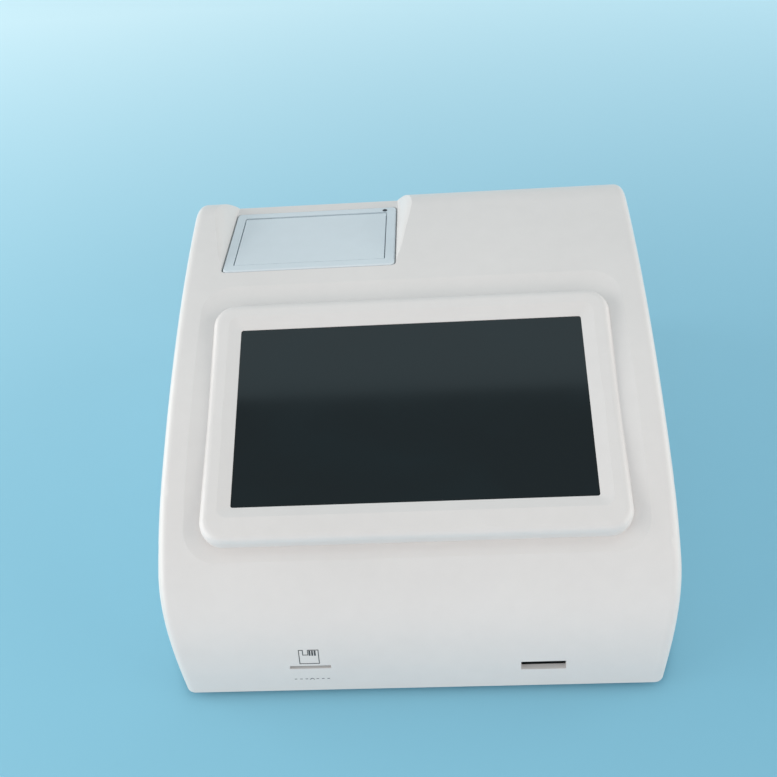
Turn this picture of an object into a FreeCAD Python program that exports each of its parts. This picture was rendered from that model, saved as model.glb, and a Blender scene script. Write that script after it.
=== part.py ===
# Bench-top rapid test reader: a wedge-shaped moulded housing with a touch display, a panel printer,
# a scanner that draws a test card past an optical head, and a thin slot for a chip card.
# Millimetres. X to the right, Y to the rear, Z up. The origin is on the table, midway across and along.
import FreeCAD
import Part
import math
import os

from FreeCAD import Placement, Rotation, Vector

# Housing outline
body_width = 241.0
body_depth = 260.0
wall = 2.6
side_edge_radius = 5.0
inner_round_share = 0.4
front_slope = 81.4
front_straight = 7.1
front_radius = 80.0
brow_slope = 36.4
brow_radius = 145.0
deck_slope = 20.7
deck_radius = 525.0
rear_radius = 28.0
front_narrowing = 8.0
narrowing_length = 33.0

# Clearances and overruns
cover_gap = 0.3
seat_gap = 0.1
shaft_gap = 0.05
cut_overrun = 6.0

# Feet and base
foot_height = 3.0
foot_radius = 7.0
foot_seat_depth = 1.0
foot_inset_x = 28.0
foot_inset_y = 22.0
foot_chamfer = 0.8
base_thickness = 2.5
rim_height = 5.0
rim_thickness = 1.8
vent_length = 30.0
vent_width = 2.4
vent_pitch = 7.0
vent_count = 11
rear_vent_count = 9
rear_vent_height = 16.0
rear_vent_z = 78.0
rear_vent_x = 62.0

# Housing screws and the posts they bite into
post_radius = 4.0
post_inset_x = 12.5
post_front = 32.0
post_middle = 150.0
post_rear = 30.0
screw_radius = 1.5
screw_length = 11.0
screw_head_radius = 2.9
screw_head_height = 1.6
small_screw_radius = 1.2
small_screw_length = 7.0
small_head_radius = 2.2
small_head_height = 1.3

# Display, measured in its own tilted plane
screen_tilt = 17.1
screen_below_deck = 2.2
window_side_margin = 34.9
window_front_margin = 52.6
window_rear_margin = 112.2
window_radius = 1.2
bezel_rise = 2.0
bezel_side = 14.5
bezel_lower = 17.0
bezel_upper = 15.3
bezel_corner = 11.5
bezel_round = 4.2
bezel_draft = 0.8
bezel_skirt = 15.0
bevel_side = 6.2
bevel_lower = 5.2
bevel_upper = 7.4
bevel_edge = 0.4
bevel_corner = 5.0
trough_depth = 2.6
trough_side = 22.6
trough_lower = 24.6
trough_upper = 29.8
trough_corner = 16.0
trough_slope = 0.5
trough_reach = 12.0
trough_overlap = 0.3
trough_steps = 8
glass_margin = 5.0
glass_thickness = 1.8
glass_corner = 2.5
lcd_side_gap = 3.1
lcd_edge = 2.4
lcd_thickness = 5.7
bracket_thickness = 1.2
bracket_slot_margin = 1.5
bracket_slot_height = 9.0
bracket_slot_rise = 21.6
display_boss_radius = 3.0
display_boss_inset = 5.0
ribbon_width = 22.0
ribbon_thickness = 0.4

# Printer plate, measured in its own plane that falls towards the rear
printer_side_margin = 21.1
printer_from_rear = 74.9
printer_fall = 8.7
plate_border = 3.0
plate_length = 64.0
plate_thickness = 2.6
plate_corner = 2.6
plate_edge_round = 0.9
plate_gap = 0.6
plate_rise = 0.6
scoop_flare_share = 0.95
scoop_shoulder_share = 0.35
scoop_shoulder_rise_share = 0.82
scoop_lip_rise_share = 1.07
scoop_length = 80.0
scoop_reach = 30.0
scoop_shares = (0.0, 0.12, 0.25, 0.4, 0.54, 0.64, 0.73, 0.81, 0.88, 0.94, 1.0)
scoop_least = 1.0
scoop_rear_step = 0.6
door_inset = 2.6
door_length = 52.0
door_gap = 0.4
door_drop = 0.05
door_edge_round = 0.5
door_thickness = 2.2
bucket_side_room = 14.5
bucket_length = 60.0
bucket_depth = 45.1
bucket_wall = 1.8
bucket_corner = 5.0
hinge_pin_radius = 0.75
hinge_barrel_radius = 1.6
hinge_seat = 1.4
lamp_radius = 1.35
lamp_length = 5.0
lamp_dome = 0.6
lamp_inset_x = 6.5
lamp_inset_y = 3.8

# Print mechanism
platen_radius = 4.5
platen_overlap = 0.3
platen_shaft_radius = 1.5
platen_v = -19.2
platen_w = -8.3
arm_gap = 0.8
arm_thickness = 1.8
arm_half_length = 3.5
arm_round = 3.4
chassis_side_gap = 0.8
chassis_thickness = 1.2
chassis_rear_v = -6.0
notch_gap = 0.3
chassis_top_w = -5.0
chassis_low_w = -38.0
cross_top_w = -6.0
shaft_overhang = 1.4
gear_module = 0.8
gear_width = 3.2
gear_side_gap = 0.8
addendum_share = 0.9
dedendum_share = 1.1
tooth_base_share = 0.56
tooth_pitch_share = 0.40
tooth_tip_share = 0.20
mesh_gap = 0.06
platen_teeth = 11
idler_teeth = 22
pinion_teeth = 10
idler_bearing = -78.0
pinion_bearing = -103.6
pinion_shaft_radius = 0.8
motor_radius = 7.5
motor_length = 15.5
head_thickness = 1.8
head_short = 0.5
head_gap = 0.8
head_height = 12.0
head_foot_height = 2.0
head_top_gap = 1.2
head_spring_radius = 2.0
head_spring_x = 18.0
roll_radius = 18.0
roll_width = 57.0
roll_v = 7.5
roll_floor_gap = 0.3
core_radius = 6.3
core_wall = 1.6

# Test-card slot and scanner
card_from_side = 63.2
slot_width = 20.8
slot_height = 5.0
slot_low = 11.7
carrier_width = 42.0
carrier_length = 77.0
carrier_height = 13.2
carrier_floor = 6.1
carrier_front_gap = 1.2
carrier_window_width = 14.0
carrier_window_length = 30.0
carrier_window_start = 22.0
carrier_end_wall = 5.0
carrier_travel = 60.0
carrier_end_gap = 8.0
nut_reach = 10.0
nut_length = 12.0
nut_height = 12.0
rod_radius = 2.0
rod_spread = 17.0
rod_height = 5.4
screw_offset = 26.0
lead_screw_radius = 2.5
lead_screw_height = 12.4
scan_plate = 2.4
scan_left = 34.0
scan_right = 37.0
scan_wall = 3.0
scan_wall_height = 20.0
scan_mouth_margin = 1.6
scan_front_gap = 8.4
bridge_gap = 2.6
bridge_thickness = 3.0
bridge_post = 3.0
head_front = 44.0
head_length = 32.0
head_width = 40.0
optics_height = 24.0
lens_radius = 5.0
lens_thickness = 2.5
lens_seat = 2.0
led_radius = 2.5
led_length = 14.0
led_reach = 11.0
led_tilt = 50.0
sensor_size = 12.0
sensor_thickness = 3.0
carrier_motor_radius = 10.0
carrier_motor_length = 18.0
motor_socket = 4.0
flag_reach = 6.0
flag_thickness = 1.6
flag_length = 6.0
flag_height = 7.4
opto_length = 10.0
opto_gap = 1.5
opto_slot = 4.4
opto_arm = 3.0
opto_front_share = 0.8

# Main board and what stands on it
board_side_gap = 22.5
board_scan_gap = 3.3
board_front_gap = 12.0
board_length = 112.0
board_thickness = 1.6
standoff_height = 6.5
standoff_radius = 3.0
board_screw_inset = 5.0
id_slot_from_side = 68.8
id_slot_width = 19.5
id_slot_height = 1.8
id_slot_level = 16.5
id_socket_width = 27.0
id_socket_length = 20.0
id_socket_height = 8.6
id_socket_reach = 5.0
id_card_depth = 16.0
chip_shares = (0.24, 0.525, 0.10, 0.745, 0.865, 0.30)
chip_sizes = ((40.0, 18.0, 18.0, 2.0), (30.0, 14.0, 20.0, 2.4), (84.0, 10.0, 24.0, 8.0),
              (86.0, 26.0, 10.0, 7.0), (30.0, 12.0, 12.0, 2.0), (92.0, 20.0, 6.0, 5.0))
capacitor_shares = (0.595, 0.46, 0.915)
capacitor_rows = (74.0, 74.0, 60.0)
capacitor_radius = 4.0
capacitor_height = 11.0
buzzer_radius = 6.0
buzzer_height = 7.5
buzzer_port_radius = 1.2
buzzer_inset = 10.0
buzzer_y = 22.0
ribbon_socket_height = 4.0
ribbon_socket_depth = 5.0
ribbon_socket_y = 64.0
ribbon_socket_share = 0.55

# Rear panel with the sockets
panel_x = 15.0
panel_width = 156.0
panel_opening_width = 150.0
panel_opening_low = 12.0
panel_opening_height = 30.0
panel_thickness = 1.5
panel_top_margin = 3.0
panel_flange = 11.0
panel_screw_x = 60.0
panel_screw_length = 3.2
inlet_x = -26.0
inlet_size = 11.0
inlet_depth = 14.0
inlet_bore_radius = 3.2
inlet_pin_radius = 1.0
switch_x = -47.0
switch_width = 21.0
switch_height = 15.0
switch_depth = 14.0
switch_flange = 1.2
switch_wall = 1.4
rocker_radius = 8.0
rocker_face = 4.6
rocker_axis_depth = 4.5
rocker_width = 9.6
rocker_tilt = 8.0
rocker_pin_radius = 1.0
usb_places = (-9.0, 8.0)
usb_width = 13.2
usb_height = 5.8
usb_depth = 14.0
usb_shell = 0.5
port_level = 27.0
lan_x = 28.0
lan_width = 16.0
lan_height = 13.4
lan_depth = 17.0
lan_mouth_width = 11.8
lan_mouth_height = 8.0
serial_x = 60.0
serial_width = 31.0
serial_height = 12.6
serial_depth = 12.0
serial_shell_width = 17.0
serial_shell_height = 8.4
serial_taper = 1.4
serial_nut_radius = 2.6
serial_nut_spread = 12.5
serial_nut_sides = 6
port_nose = 1.6

half_width = body_width / 2
half_depth = body_depth / 2
post_rows = (post_front, post_middle, body_depth - post_rear)
card_x = half_width - card_from_side
id_slot_x = id_slot_from_side - half_width
board_left = board_side_gap - half_width
board_right = card_x - scan_left - board_scan_gap
board_width = board_right - board_left
ribbon_socket_x = board_left + board_width * ribbon_socket_share
buzzer_x = board_left + buzzer_inset
bucket_width = roll_width + 2 * bucket_side_room
plate_width = bucket_width + 2 * plate_border
door_width = bucket_width - 2 * door_inset
printer_x = printer_side_margin + plate_width / 2 - half_width
platen_half_length = roll_width / 2 + platen_overlap
arm_inner_x = platen_half_length + arm_gap
chassis_x = arm_inner_x + arm_thickness + chassis_side_gap
head_half_length = roll_width / 2 - head_short
base_floor = foot_height + base_thickness
narrow_radius = (narrowing_length**2 + front_narrowing**2) / (2 * front_narrowing)
narrow_angle = math.asin(narrowing_length / narrow_radius)

os.makedirs("parts", exist_ok=True)


# Basic shapes
def block(x0, x1, y0, y1, z0, z1):
    """Box between two corners."""
    return Part.makeBox(x1 - x0, y1 - y0, z1 - z0, Vector(x0, y0, z0))


def rod_x(radius, x0, x1, y, z):
    """Cylinder along X."""
    return Part.makeCylinder(radius, x1 - x0, Vector(x0, y, z), Vector(1, 0, 0))


def rod_y(radius, y0, y1, x, z):
    """Cylinder along Y."""
    return Part.makeCylinder(radius, y1 - y0, Vector(x, y0, z), Vector(0, 1, 0))


def rod_z(radius, z0, z1, x, y):
    """Cylinder along Z."""
    return Part.makeCylinder(radius, z1 - z0, Vector(x, y, z0), Vector(0, 0, 1))


def rounded_outline(x0, x1, y0, y1, radius, z):
    """Wire of a rectangle with rounded corners at one height."""
    diagonal = radius * (1 - math.cos(math.pi / 4))
    corners = ((x1, y1, -1, -1), (x0, y1, 1, -1), (x0, y0, 1, 1), (x1, y0, -1, 1))
    edges = []
    for number, (x, y, across, along) in enumerate(corners):
        first = Vector(x, y + along * radius, z)
        last = Vector(x + across * radius, y, z)
        if number % 2:
            first, last = last, first
        middle = Vector(x + across * diagonal, y + along * diagonal, z)
        if edges:
            edges.append(Part.makeLine(edges[-1].Vertexes[-1].Point, first))
        edges.append(Part.Arc(first, middle, last).toShape())
    edges.append(Part.makeLine(edges[-1].Vertexes[-1].Point, edges[0].Vertexes[0].Point))
    return Part.Wire(Part.__sortEdges__(edges))


def rounded_slab(x0, x1, y0, y1, radius, z0, z1):
    """Plate with rounded corners between two heights."""
    face = Part.Face(rounded_outline(x0, x1, y0, y1, radius, z0))
    return face.extrude(Vector(0, 0, z1 - z0))


def flat_prism(points, x0, x1):
    """Prism along X from a polygon of (y, z) points."""
    corners = [Vector(x0, y, z) for y, z in points]
    face = Part.Face(Part.makePolygon(corners + corners[:1]))
    return face.extrude(Vector(x1 - x0, 0, 0))


def fused(shapes):
    """One solid from overlapping or touching shapes."""
    whole = shapes[0]
    for shape in shapes[1:]:
        whole = whole.fuse(shape)
    return whole.removeSplitter()


def placed(shape, placement):
    """Copy of a shape carried from its own frame into the housing's frame."""
    moved = shape.copy()
    moved.Placement = placement.multiply(moved.Placement)
    return moved


def in_front_row(row):
    """Y of a row of posts that is measured from the front edge."""
    return row - half_depth


# Housing form
def along(slope):
    """Unit vector in the side view at a slope in degrees, pointing to the rear."""
    return Vector(0, math.cos(math.radians(slope)), math.sin(math.radians(slope)))


def inward(slope):
    """Unit vector square to a slope, pointing into the housing."""
    return Vector(0, math.sin(math.radians(slope)), -math.cos(math.radians(slope)))


straight_top = Vector(0, -half_depth, foot_height) + along(front_slope) * front_straight
front_centre = straight_top + inward(front_slope) * front_radius
brow_centre = front_centre + inward(brow_slope) * (brow_radius - front_radius)
deck_centre = brow_centre + inward(deck_slope) * (deck_radius - brow_radius)
rear_centre_y = half_depth - rear_radius
rear_rise = math.sqrt((deck_radius - rear_radius)**2 - (rear_centre_y - deck_centre.y)**2)
rear_centre = Vector(0, rear_centre_y, deck_centre.z + rear_rise)
rear_slope = math.degrees(math.atan2(deck_centre.y - rear_centre.y, rear_rise))


def deck_height(y):
    """Height of the curved top at a distance along the housing."""
    knee_y = (brow_centre - inward(deck_slope) * brow_radius).y
    centre, radius = (deck_centre, deck_radius) if y > knee_y else (brow_centre, brow_radius)
    return centre.z + math.sqrt(radius**2 - (y - centre.y)**2)


def slope_arc(centre, radius, first, last):
    """Arc of the side profile between two slopes."""
    points = [centre - inward(slope) * radius for slope in (first, (first + last) / 2, last)]
    return Part.Arc(*points).toShape()


def side_profile(inset, low):
    """Closed side profile, drawn inwards by an inset and cut off at a low level."""
    foot = front_centre - inward(front_slope) * (front_radius - inset)
    start = foot - along(front_slope) * ((foot.z - low) / math.sin(math.radians(front_slope)))
    arcs = [slope_arc(front_centre, front_radius - inset, front_slope, brow_slope),
            slope_arc(brow_centre, brow_radius - inset, brow_slope, deck_slope),
            slope_arc(deck_centre, deck_radius - inset, deck_slope, rear_slope),
            slope_arc(rear_centre, rear_radius - inset, rear_slope, -90)]
    rear_top = Vector(0, half_depth - inset, rear_centre.z)
    rear_low = Vector(0, half_depth - inset, low)
    lines = [Part.makeLine(start, foot), Part.makeLine(rear_top, rear_low), Part.makeLine(rear_low, start)]
    return Part.Wire(Part.__sortEdges__(arcs + lines))


def plan_outline(inset, low):
    """Closed plan of the housing: straight sides that curve in towards the front."""
    radius = narrow_radius - inset
    side = half_width - inset
    tangent_y = narrowing_length - half_depth
    front = -half_depth - cut_overrun
    rear = half_depth + cut_overrun
    bend = []
    for angle in (0, narrow_angle / 2, narrow_angle):
        bend.append((side - radius * (1 - math.cos(angle)), tangent_y - radius * math.sin(angle)))
    edges = []
    for hand in (1, -1):
        points = [Vector(hand * x, y, low) for x, y in bend]
        edges.append(Part.Arc(*points).toShape())
        edges.append(Part.makeLine(points[2], Vector(points[2].x, front, low)))
        edges.append(Part.makeLine(points[0], Vector(points[0].x, rear, low)))
    edges.append(Part.makeLine(Vector(-bend[2][0], front, low), Vector(bend[2][0], front, low)))
    edges.append(Part.makeLine(Vector(-side, rear, low), Vector(side, rear, low)))
    return Part.Wire(Part.__sortEdges__(edges))


def housing_form(inset, low):
    """Solid form of the housing, drawn inwards by an inset, with its side edges rounded."""
    profile = side_profile(inset, low)
    side_face = Part.Face(profile)
    side_face.translate(Vector(-half_width - cut_overrun, 0, 0))
    long_form = side_face.extrude(Vector(body_width + 2 * cut_overrun, 0, 0))
    tall_form = Part.Face(plan_outline(inset, low)).extrude(Vector(0, 0, rear_centre.z + 2 * rear_radius))
    form = long_form.common(tall_form).removeSplitter()
    edges = []
    for edge in form.Edges:
        point = edge.valueAt((edge.FirstParameter + edge.LastParameter) / 2)
        off_profile = profile.distToShape(Part.Vertex(0, point.y, point.z))[0]
        flank = abs(point.x) > half_width - inset - front_narrowing - wall
        if flank and off_profile < shaft_gap and point.z > low + seat_gap:
            edges.append(edge)
    return form.makeFillet(max(side_edge_radius - inset, side_edge_radius * inner_round_share), edges)


# Frames of the tilted display and of the falling printer plate
window_x = half_width - window_side_margin
window_v = (body_depth - window_front_margin - window_rear_margin) / 2
screen_y = window_front_margin + window_v - half_depth
screen_z = deck_height(screen_y) - screen_below_deck
screen_frame = Placement(Vector(0, screen_y, screen_z), Rotation(Vector(1, 0, 0), screen_tilt))
printer_front_y = half_depth - printer_from_rear
fall = math.radians(printer_fall)
printer_y = printer_front_y + plate_length / 2 * math.cos(fall)
printer_z = deck_height(printer_front_y) + plate_rise - plate_length / 2 * math.sin(fall)
printer_frame = Placement(Vector(printer_x, printer_y, printer_z), Rotation(Vector(1, 0, 0), -printer_fall))
bezel_x = window_x + bezel_side
bezel_low = -window_v - bezel_lower
bezel_high = window_v + bezel_upper
pocket_x = bezel_x - wall
pocket_low = bezel_low + wall
pocket_high = bezel_high - wall
plate_x = plate_width / 2
plate_v = plate_length / 2
bracket_slot_v = bracket_slot_rise - window_v


# Top cover
def trough_block(grow):
    """Tapering block that cuts the trough, or with growth backs it, in the display's frame."""
    outlines = []
    for level in (-bezel_skirt - wall, trough_reach):
        spread = trough_slope * level + grow
        side = window_x + trough_side + spread
        low = -window_v - trough_lower - spread
        high = window_v + trough_upper + spread
        outlines.append(rounded_outline(-side, side, low, high, trough_corner, level))
    return placed(Part.makeLoft(outlines, True, True), screen_frame)


def on_deck(x, v, above):
    """Point of the curved top under a place of the display's frame, at a height above the surface."""
    flat = screen_frame.multVec(Vector(x, v, 0))
    up = screen_frame.Rotation.multVec(Vector(0, 0, 1))
    foot = flat
    for _ in range(trough_steps):
        foot = foot + up * ((deck_height(foot.y) - foot.z) * up.z)
    return foot + up * above


def trough_edges(x, low, high, corner, above):
    """Rounded rectangle laid on the curved top as eight smooth edges."""
    edges = []
    for across, along, start in ((1, 1, 0), (-1, 1, 90), (-1, -1, 180), (1, -1, 270)):
        centre_x = across * (x - corner)
        centre_v = high - corner if along > 0 else low + corner
        arc = []
        for step in range(trough_steps + 1):
            angle = math.radians(start + 90 * step / trough_steps)
            arc.append((centre_x + corner * math.cos(angle), centre_v + corner * math.sin(angle)))
        edges.append(arc)
    outline = []
    for number, arc in enumerate(edges):
        outline.append(arc)
        (x0, v0), (x1, v1) = arc[-1], edges[(number + 1) % len(edges)][0]
        shares = [step / trough_steps for step in range(trough_steps + 1)]
        outline.append([(x0 + (x1 - x0) * share, v0 + (v1 - v0) * share) for share in shares])
    curves = []
    for places in outline:
        curve = Part.BSplineCurve()
        curve.interpolate([on_deck(x, v, above) for x, v in places])
        curves.append(curve.toShape())
    return curves


def trough_cuts():
    """Ring above the sloping floor of the trough, from the deck down to the foot of the bezel."""
    outer = trough_edges(window_x + trough_side + trough_overlap, -window_v - trough_lower - trough_overlap,
                         window_v + trough_upper + trough_overlap, trough_corner, trough_overlap / 2)
    inner = trough_edges(bezel_x - bezel_round, bezel_low + bezel_round, bezel_high - bezel_round,
                         bezel_corner - bezel_round, -trough_depth)
    up = screen_frame.Rotation.multVec(Vector(0, 0, trough_reach))
    return [Part.makeRuledSurface(first, last).extrude(up) for first, last in zip(outer, inner)]


def bezel_block():
    """Raised bezel with its slightly tapering skirt and rounded shoulder."""
    outlines = []
    for level, spread in ((-bezel_skirt, bezel_draft), (bezel_rise, 0)):
        outlines.append(rounded_outline(-bezel_x - spread, bezel_x + spread, bezel_low - spread,
                                        bezel_high + spread, bezel_corner, level))
    block_form = Part.makeLoft(outlines, True, True)
    shoulder = []
    for edge in block_form.Edges:
        if abs(edge.CenterOfMass.z - bezel_rise) < seat_gap:
            shoulder.append(edge)
    return placed(block_form.makeFillet(bezel_round, shoulder), screen_frame)


def display_cuts():
    """Pocket behind the bezel, window through it and the wide bevel around the window."""
    pocket = rounded_slab(-pocket_x, pocket_x, pocket_low, pocket_high, bezel_corner - wall,
                          -bezel_skirt - trough_reach * 2, 0)
    window = rounded_slab(-window_x, window_x, -window_v, window_v, window_radius,
                          -cut_overrun, bezel_rise + cut_overrun)
    stretch = (bezel_rise * 2 - bevel_edge) / (bezel_rise - bevel_edge)
    across = window_x + bevel_side * stretch
    corner = window_radius + (bevel_corner - window_radius) * stretch
    outlines = [rounded_outline(-window_x, window_x, -window_v, window_v, window_radius, bevel_edge),
                rounded_outline(-across, across, -window_v - bevel_lower * stretch,
                                window_v + bevel_upper * stretch, corner, bezel_rise * 2)]
    bevel = Part.makeLoft(outlines, True, True)
    return [placed(shape, screen_frame) for shape in (pocket, window, bevel)]


def display_boss_places():
    """Corners of the pocket where the display bracket is screwed down."""
    across = pocket_x - display_boss_inset
    return [(x, v) for x in (-across, across)
            for v in (pocket_low + display_boss_inset, pocket_high - display_boss_inset)]


def top_height(y):
    """Height of the housing's top at a distance along it, with the rounded rear edge."""
    if y < rear_centre.y:
        return deck_height(y)
    return rear_centre.z + math.sqrt(max(rear_radius**2 - (y - rear_centre.y)**2, 0))


def scoop_section(v, grow, floor):
    """Outline across the scoop at one place along the plate: its walls roll over into the deck."""
    half = plate_x + plate_gap + grow
    under = printer_frame.multVec(Vector(0, v, -scoop_rear_step))
    gain = (top_height(under.y) - under.z) / math.cos(fall)
    rise = (gain + math.hypot(gain, scoop_least)) / 2
    flare = rise * scoop_flare_share
    low = -scoop_rear_step - grow
    shoulder = low + rise * scoop_shoulder_rise_share
    top = low + rise * scoop_lip_rise_share
    edges = [Part.makeLine(Vector(-half, v, floor), Vector(half, v, floor))]
    for hand in (1, -1):
        foot = Vector(hand * half, v, low)
        lip = Vector(hand * (half + flare), v, top)
        wall_curve = Part.BezierCurve()
        wall_curve.setPoles([foot, Vector(hand * (half + flare * scoop_shoulder_share), v, shoulder), lip])
        side = [wall_curve.toShape(), Part.makeLine(lip, Vector(lip.x, v, scoop_reach))]
        if foot.z - floor > seat_gap:
            side.append(Part.makeLine(Vector(hand * half, v, floor), foot))
        edges += side
    across = half + flare
    edges.append(Part.makeLine(Vector(-across, v, scoop_reach), Vector(across, v, scoop_reach)))
    return Part.Wire(Part.__sortEdges__(edges))


def scoop_form(grow, floor):
    """Channel round and behind the printer plate, in the plate's frame."""
    start = -plate_v - plate_gap / 2 - grow
    sections = [scoop_section(start + scoop_length * share, grow, floor) for share in scoop_shares]
    return placed(Part.makeLoft(sections, True, False), printer_frame)


def post_places():
    """Places of the posts that take the housing screws."""
    places = []
    for row in post_rows:
        for hand in (-1, 1):
            places.append((hand * (half_width - post_inset_x), in_front_row(row)))
    return places


def slot_cuts():
    """Test-card slot and chip-card slot through the front wall."""
    front = -half_depth - cut_overrun
    back = -half_depth + cut_overrun * 2
    low = foot_height + slot_low
    card = block(card_x - slot_width / 2, card_x + slot_width / 2, front, back, low, low + slot_height)
    level = foot_height + id_slot_level
    chip = block(id_slot_x - id_slot_width / 2, id_slot_x + id_slot_width / 2, front, back,
                 level - id_slot_height / 2, level + id_slot_height / 2)
    return [card, chip]


def rear_cuts():
    """Opening for the rear panel and the row of upright vents above it."""
    inner = half_depth - wall - cut_overrun
    outer = half_depth + cut_overrun
    low = foot_height + panel_opening_low
    cuts = [block(panel_x - panel_opening_width / 2, panel_x + panel_opening_width / 2, inner, outer,
                  low, low + panel_opening_height)]
    for number in range(rear_vent_count):
        x = rear_vent_x + (number - (rear_vent_count - 1) / 2) * vent_pitch
        cuts.append(block(x - vent_width / 2, x + vent_width / 2, inner, outer,
                          rear_vent_z - rear_vent_height, rear_vent_z))
    return cuts


def make_top_cover():
    """One moulding: curved deck, trough, raised bezel, printer scoop, slots, posts and bosses."""
    skin = housing_form(0, foot_height)
    inner = housing_form(wall, foot_height - cut_overrun)
    cover = skin.cut(inner)
    backing = trough_block(wall).common(inner)
    backing = backing.cut(housing_form(wall + trough_depth, foot_height - cut_overrun))
    scoop_back = scoop_form(wall, -plate_thickness - wall)
    posts = [rod_z(post_radius, base_floor, rear_centre.z + rear_radius, x, y) for x, y in post_places()]
    cover = cover.fuse([backing, scoop_back.common(skin)] + [post.common(inner) for post in posts])
    cover = cover.cut(trough_cuts() + [scoop_form(0, -scoop_rear_step)])
    cover = cover.fuse(bezel_block())
    cover = cover.cut(display_cuts())
    bosses = []
    for x, v in display_boss_places():
        low = -glass_thickness - lcd_thickness
        boss = rod_z(display_boss_radius, low, 0, x, v)
        bosses.append(placed(boss, screen_frame))
    cover = cover.fuse(bosses)
    holes = []
    for x, v in display_boss_places():
        low = -glass_thickness - lcd_thickness - cut_overrun
        holes.append(placed(rod_z(small_screw_radius + shaft_gap, low, -seat_gap, x, v), screen_frame))
    plate_seat = rounded_slab(-plate_x - plate_gap, plate_x + plate_gap, -plate_v - plate_gap / 2,
                              plate_v + plate_gap, plate_corner, -plate_thickness, cut_overrun)
    bucket_hole = rounded_slab(-bucket_width / 2 - cover_gap, bucket_width / 2 + cover_gap,
                               -bucket_length / 2 - cover_gap, bucket_length / 2 + cover_gap,
                               bucket_corner, -bucket_depth, cut_overrun)
    holes += [placed(plate_seat, printer_frame), placed(bucket_hole, printer_frame)]
    for x, y in post_places():
        holes.append(rod_z(screw_radius + shaft_gap, 0, screw_length + foot_height, x, y))
    cover = cover.cut(holes + slot_cuts() + rear_cuts())
    return cover.removeSplitter()


# Base, feet and fasteners
board_front = board_front_gap - half_depth
board_rear = board_front + board_length
board_level = base_floor + standoff_height
board_top = board_level + board_thickness
panel_rear = half_depth - wall
panel_front = panel_rear - panel_thickness


def foot_places():
    """Four places near the corners of the base."""
    across = half_width - foot_inset_x
    back = half_depth - foot_inset_y
    return [(x, y) for x in (-across, across) for y in (-back, back)]


def board_screw_places():
    """Four corners of the main board."""
    inset = board_screw_inset
    return [(x, y) for x in (board_left + inset, board_right - inset)
            for y in (board_front + inset, board_rear - inset)]


def pan_screw(radius, length, head_radius, head_height, seat):
    """Screw along -Z below a seat level at the origin, with its head above the seat."""
    shank = rod_z(radius, seat - length, seat, 0, 0)
    head = rod_z(head_radius, seat, seat + head_height, 0, 0)
    top = seat + head_height
    round_edges = [edge for edge in head.Edges if abs(edge.CenterOfMass.z - top) < seat_gap / 2]
    head = head.makeFillet(head_height / 2, round_edges[:1])
    return shank.fuse(head).removeSplitter()


def screw_group(places, seat, length):
    """Small pan-head screws pointing down at several places."""
    screws = []
    for x, y in places:
        screw = pan_screw(small_screw_radius, length, small_head_radius, small_head_height, seat)
        screws.append(screw.translated(Vector(x, y, 0)))
    return Part.makeCompound(screws)


def make_base_cover():
    """Bottom pan with a rim inside the cover, foot seats, board posts, vents and screw holes."""
    edge = wall + cover_gap
    form = housing_form(edge, foot_height)
    hollow = housing_form(edge + rim_thickness, foot_height - cut_overrun)
    plate = form.common(block(-half_width, half_width, -half_depth, half_depth, foot_height, base_floor))
    rim = form.cut(hollow)
    rim = rim.common(block(-half_width, half_width, -half_depth, half_depth, foot_height,
                           base_floor + rim_height))
    standoffs = [rod_z(standoff_radius, foot_height, board_level, x, y) for x, y in board_screw_places()]
    base = fused([plate, rim] + standoffs)
    cuts = [block(panel_x - panel_width / 2 - cover_gap, panel_x + panel_width / 2 + cover_gap,
                  panel_rear - panel_flange - cover_gap, half_depth, base_floor, base_floor + cut_overrun)]
    for x, y in board_screw_places():
        cuts.append(rod_z(small_screw_radius + shaft_gap, base_floor, board_level + cut_overrun, x, y))
    for x, y in foot_places():
        cuts.append(rod_z(foot_radius + seat_gap, 0, foot_height + foot_seat_depth, x, y))
    for x, y in post_places():
        cuts.append(rod_z(screw_radius + seat_gap, 0, base_floor + cut_overrun, x, y))
        cuts.append(rod_z(screw_head_radius + cover_gap, 0, foot_height + screw_head_height, x, y))
    for hand in (-1, 1):
        cuts.append(rod_z(small_screw_radius + shaft_gap, foot_height + cover_gap, board_level,
                          panel_x + hand * panel_screw_x, panel_rear - panel_flange / 2))
    for number in range(vent_count):
        x = (board_left + board_right) / 2 + (number - (vent_count - 1) / 2) * vent_pitch
        slot = rounded_slab(x - vent_width / 2, x + vent_width / 2, board_rear - vent_length * 2,
                            board_rear - vent_length, vent_width / 2 - seat_gap, 0, board_level)
        cuts.append(slot)
    return base.cut(cuts).removeSplitter()


def make_rubber_feet():
    """Four round feet seated in the base, chamfered where they stand."""
    feet = []
    for x, y in foot_places():
        low = rod_z(foot_radius, foot_chamfer, foot_height + foot_seat_depth, x, y)
        tip = Part.makeCone(foot_radius - foot_chamfer, foot_radius, foot_chamfer, Vector(x, y, 0))
        feet.append(low.fuse(tip).removeSplitter())
    return Part.makeCompound(feet)


def make_housing_screws():
    """Screws driven upwards through the base into the cover's posts."""
    screws = []
    for x, y in post_places():
        screw = pan_screw(screw_radius, screw_length - screw_head_height, screw_head_radius,
                          screw_head_height, 0)
        screw.rotate(Vector(0, 0, 0), Vector(1, 0, 0), 180)
        screws.append(screw.translated(Vector(x, y, foot_height + screw_head_height)))
    return Part.makeCompound(screws)


# Display
def make_display_glass():
    """Touch glass held behind the bezel's lip."""
    across = window_x + glass_margin
    up = window_v + glass_margin
    glass = rounded_slab(-across, across, -up, up, glass_corner, -glass_thickness, 0)
    return placed(glass, screen_frame)


def make_lcd_module():
    """Display module bonded behind the glass."""
    across = window_x - lcd_side_gap
    up = window_v + lcd_edge
    module = rounded_slab(-across, across, -up, up, glass_corner / 2, -glass_thickness - lcd_thickness,
                          -glass_thickness)
    return placed(module, screen_frame)


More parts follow.
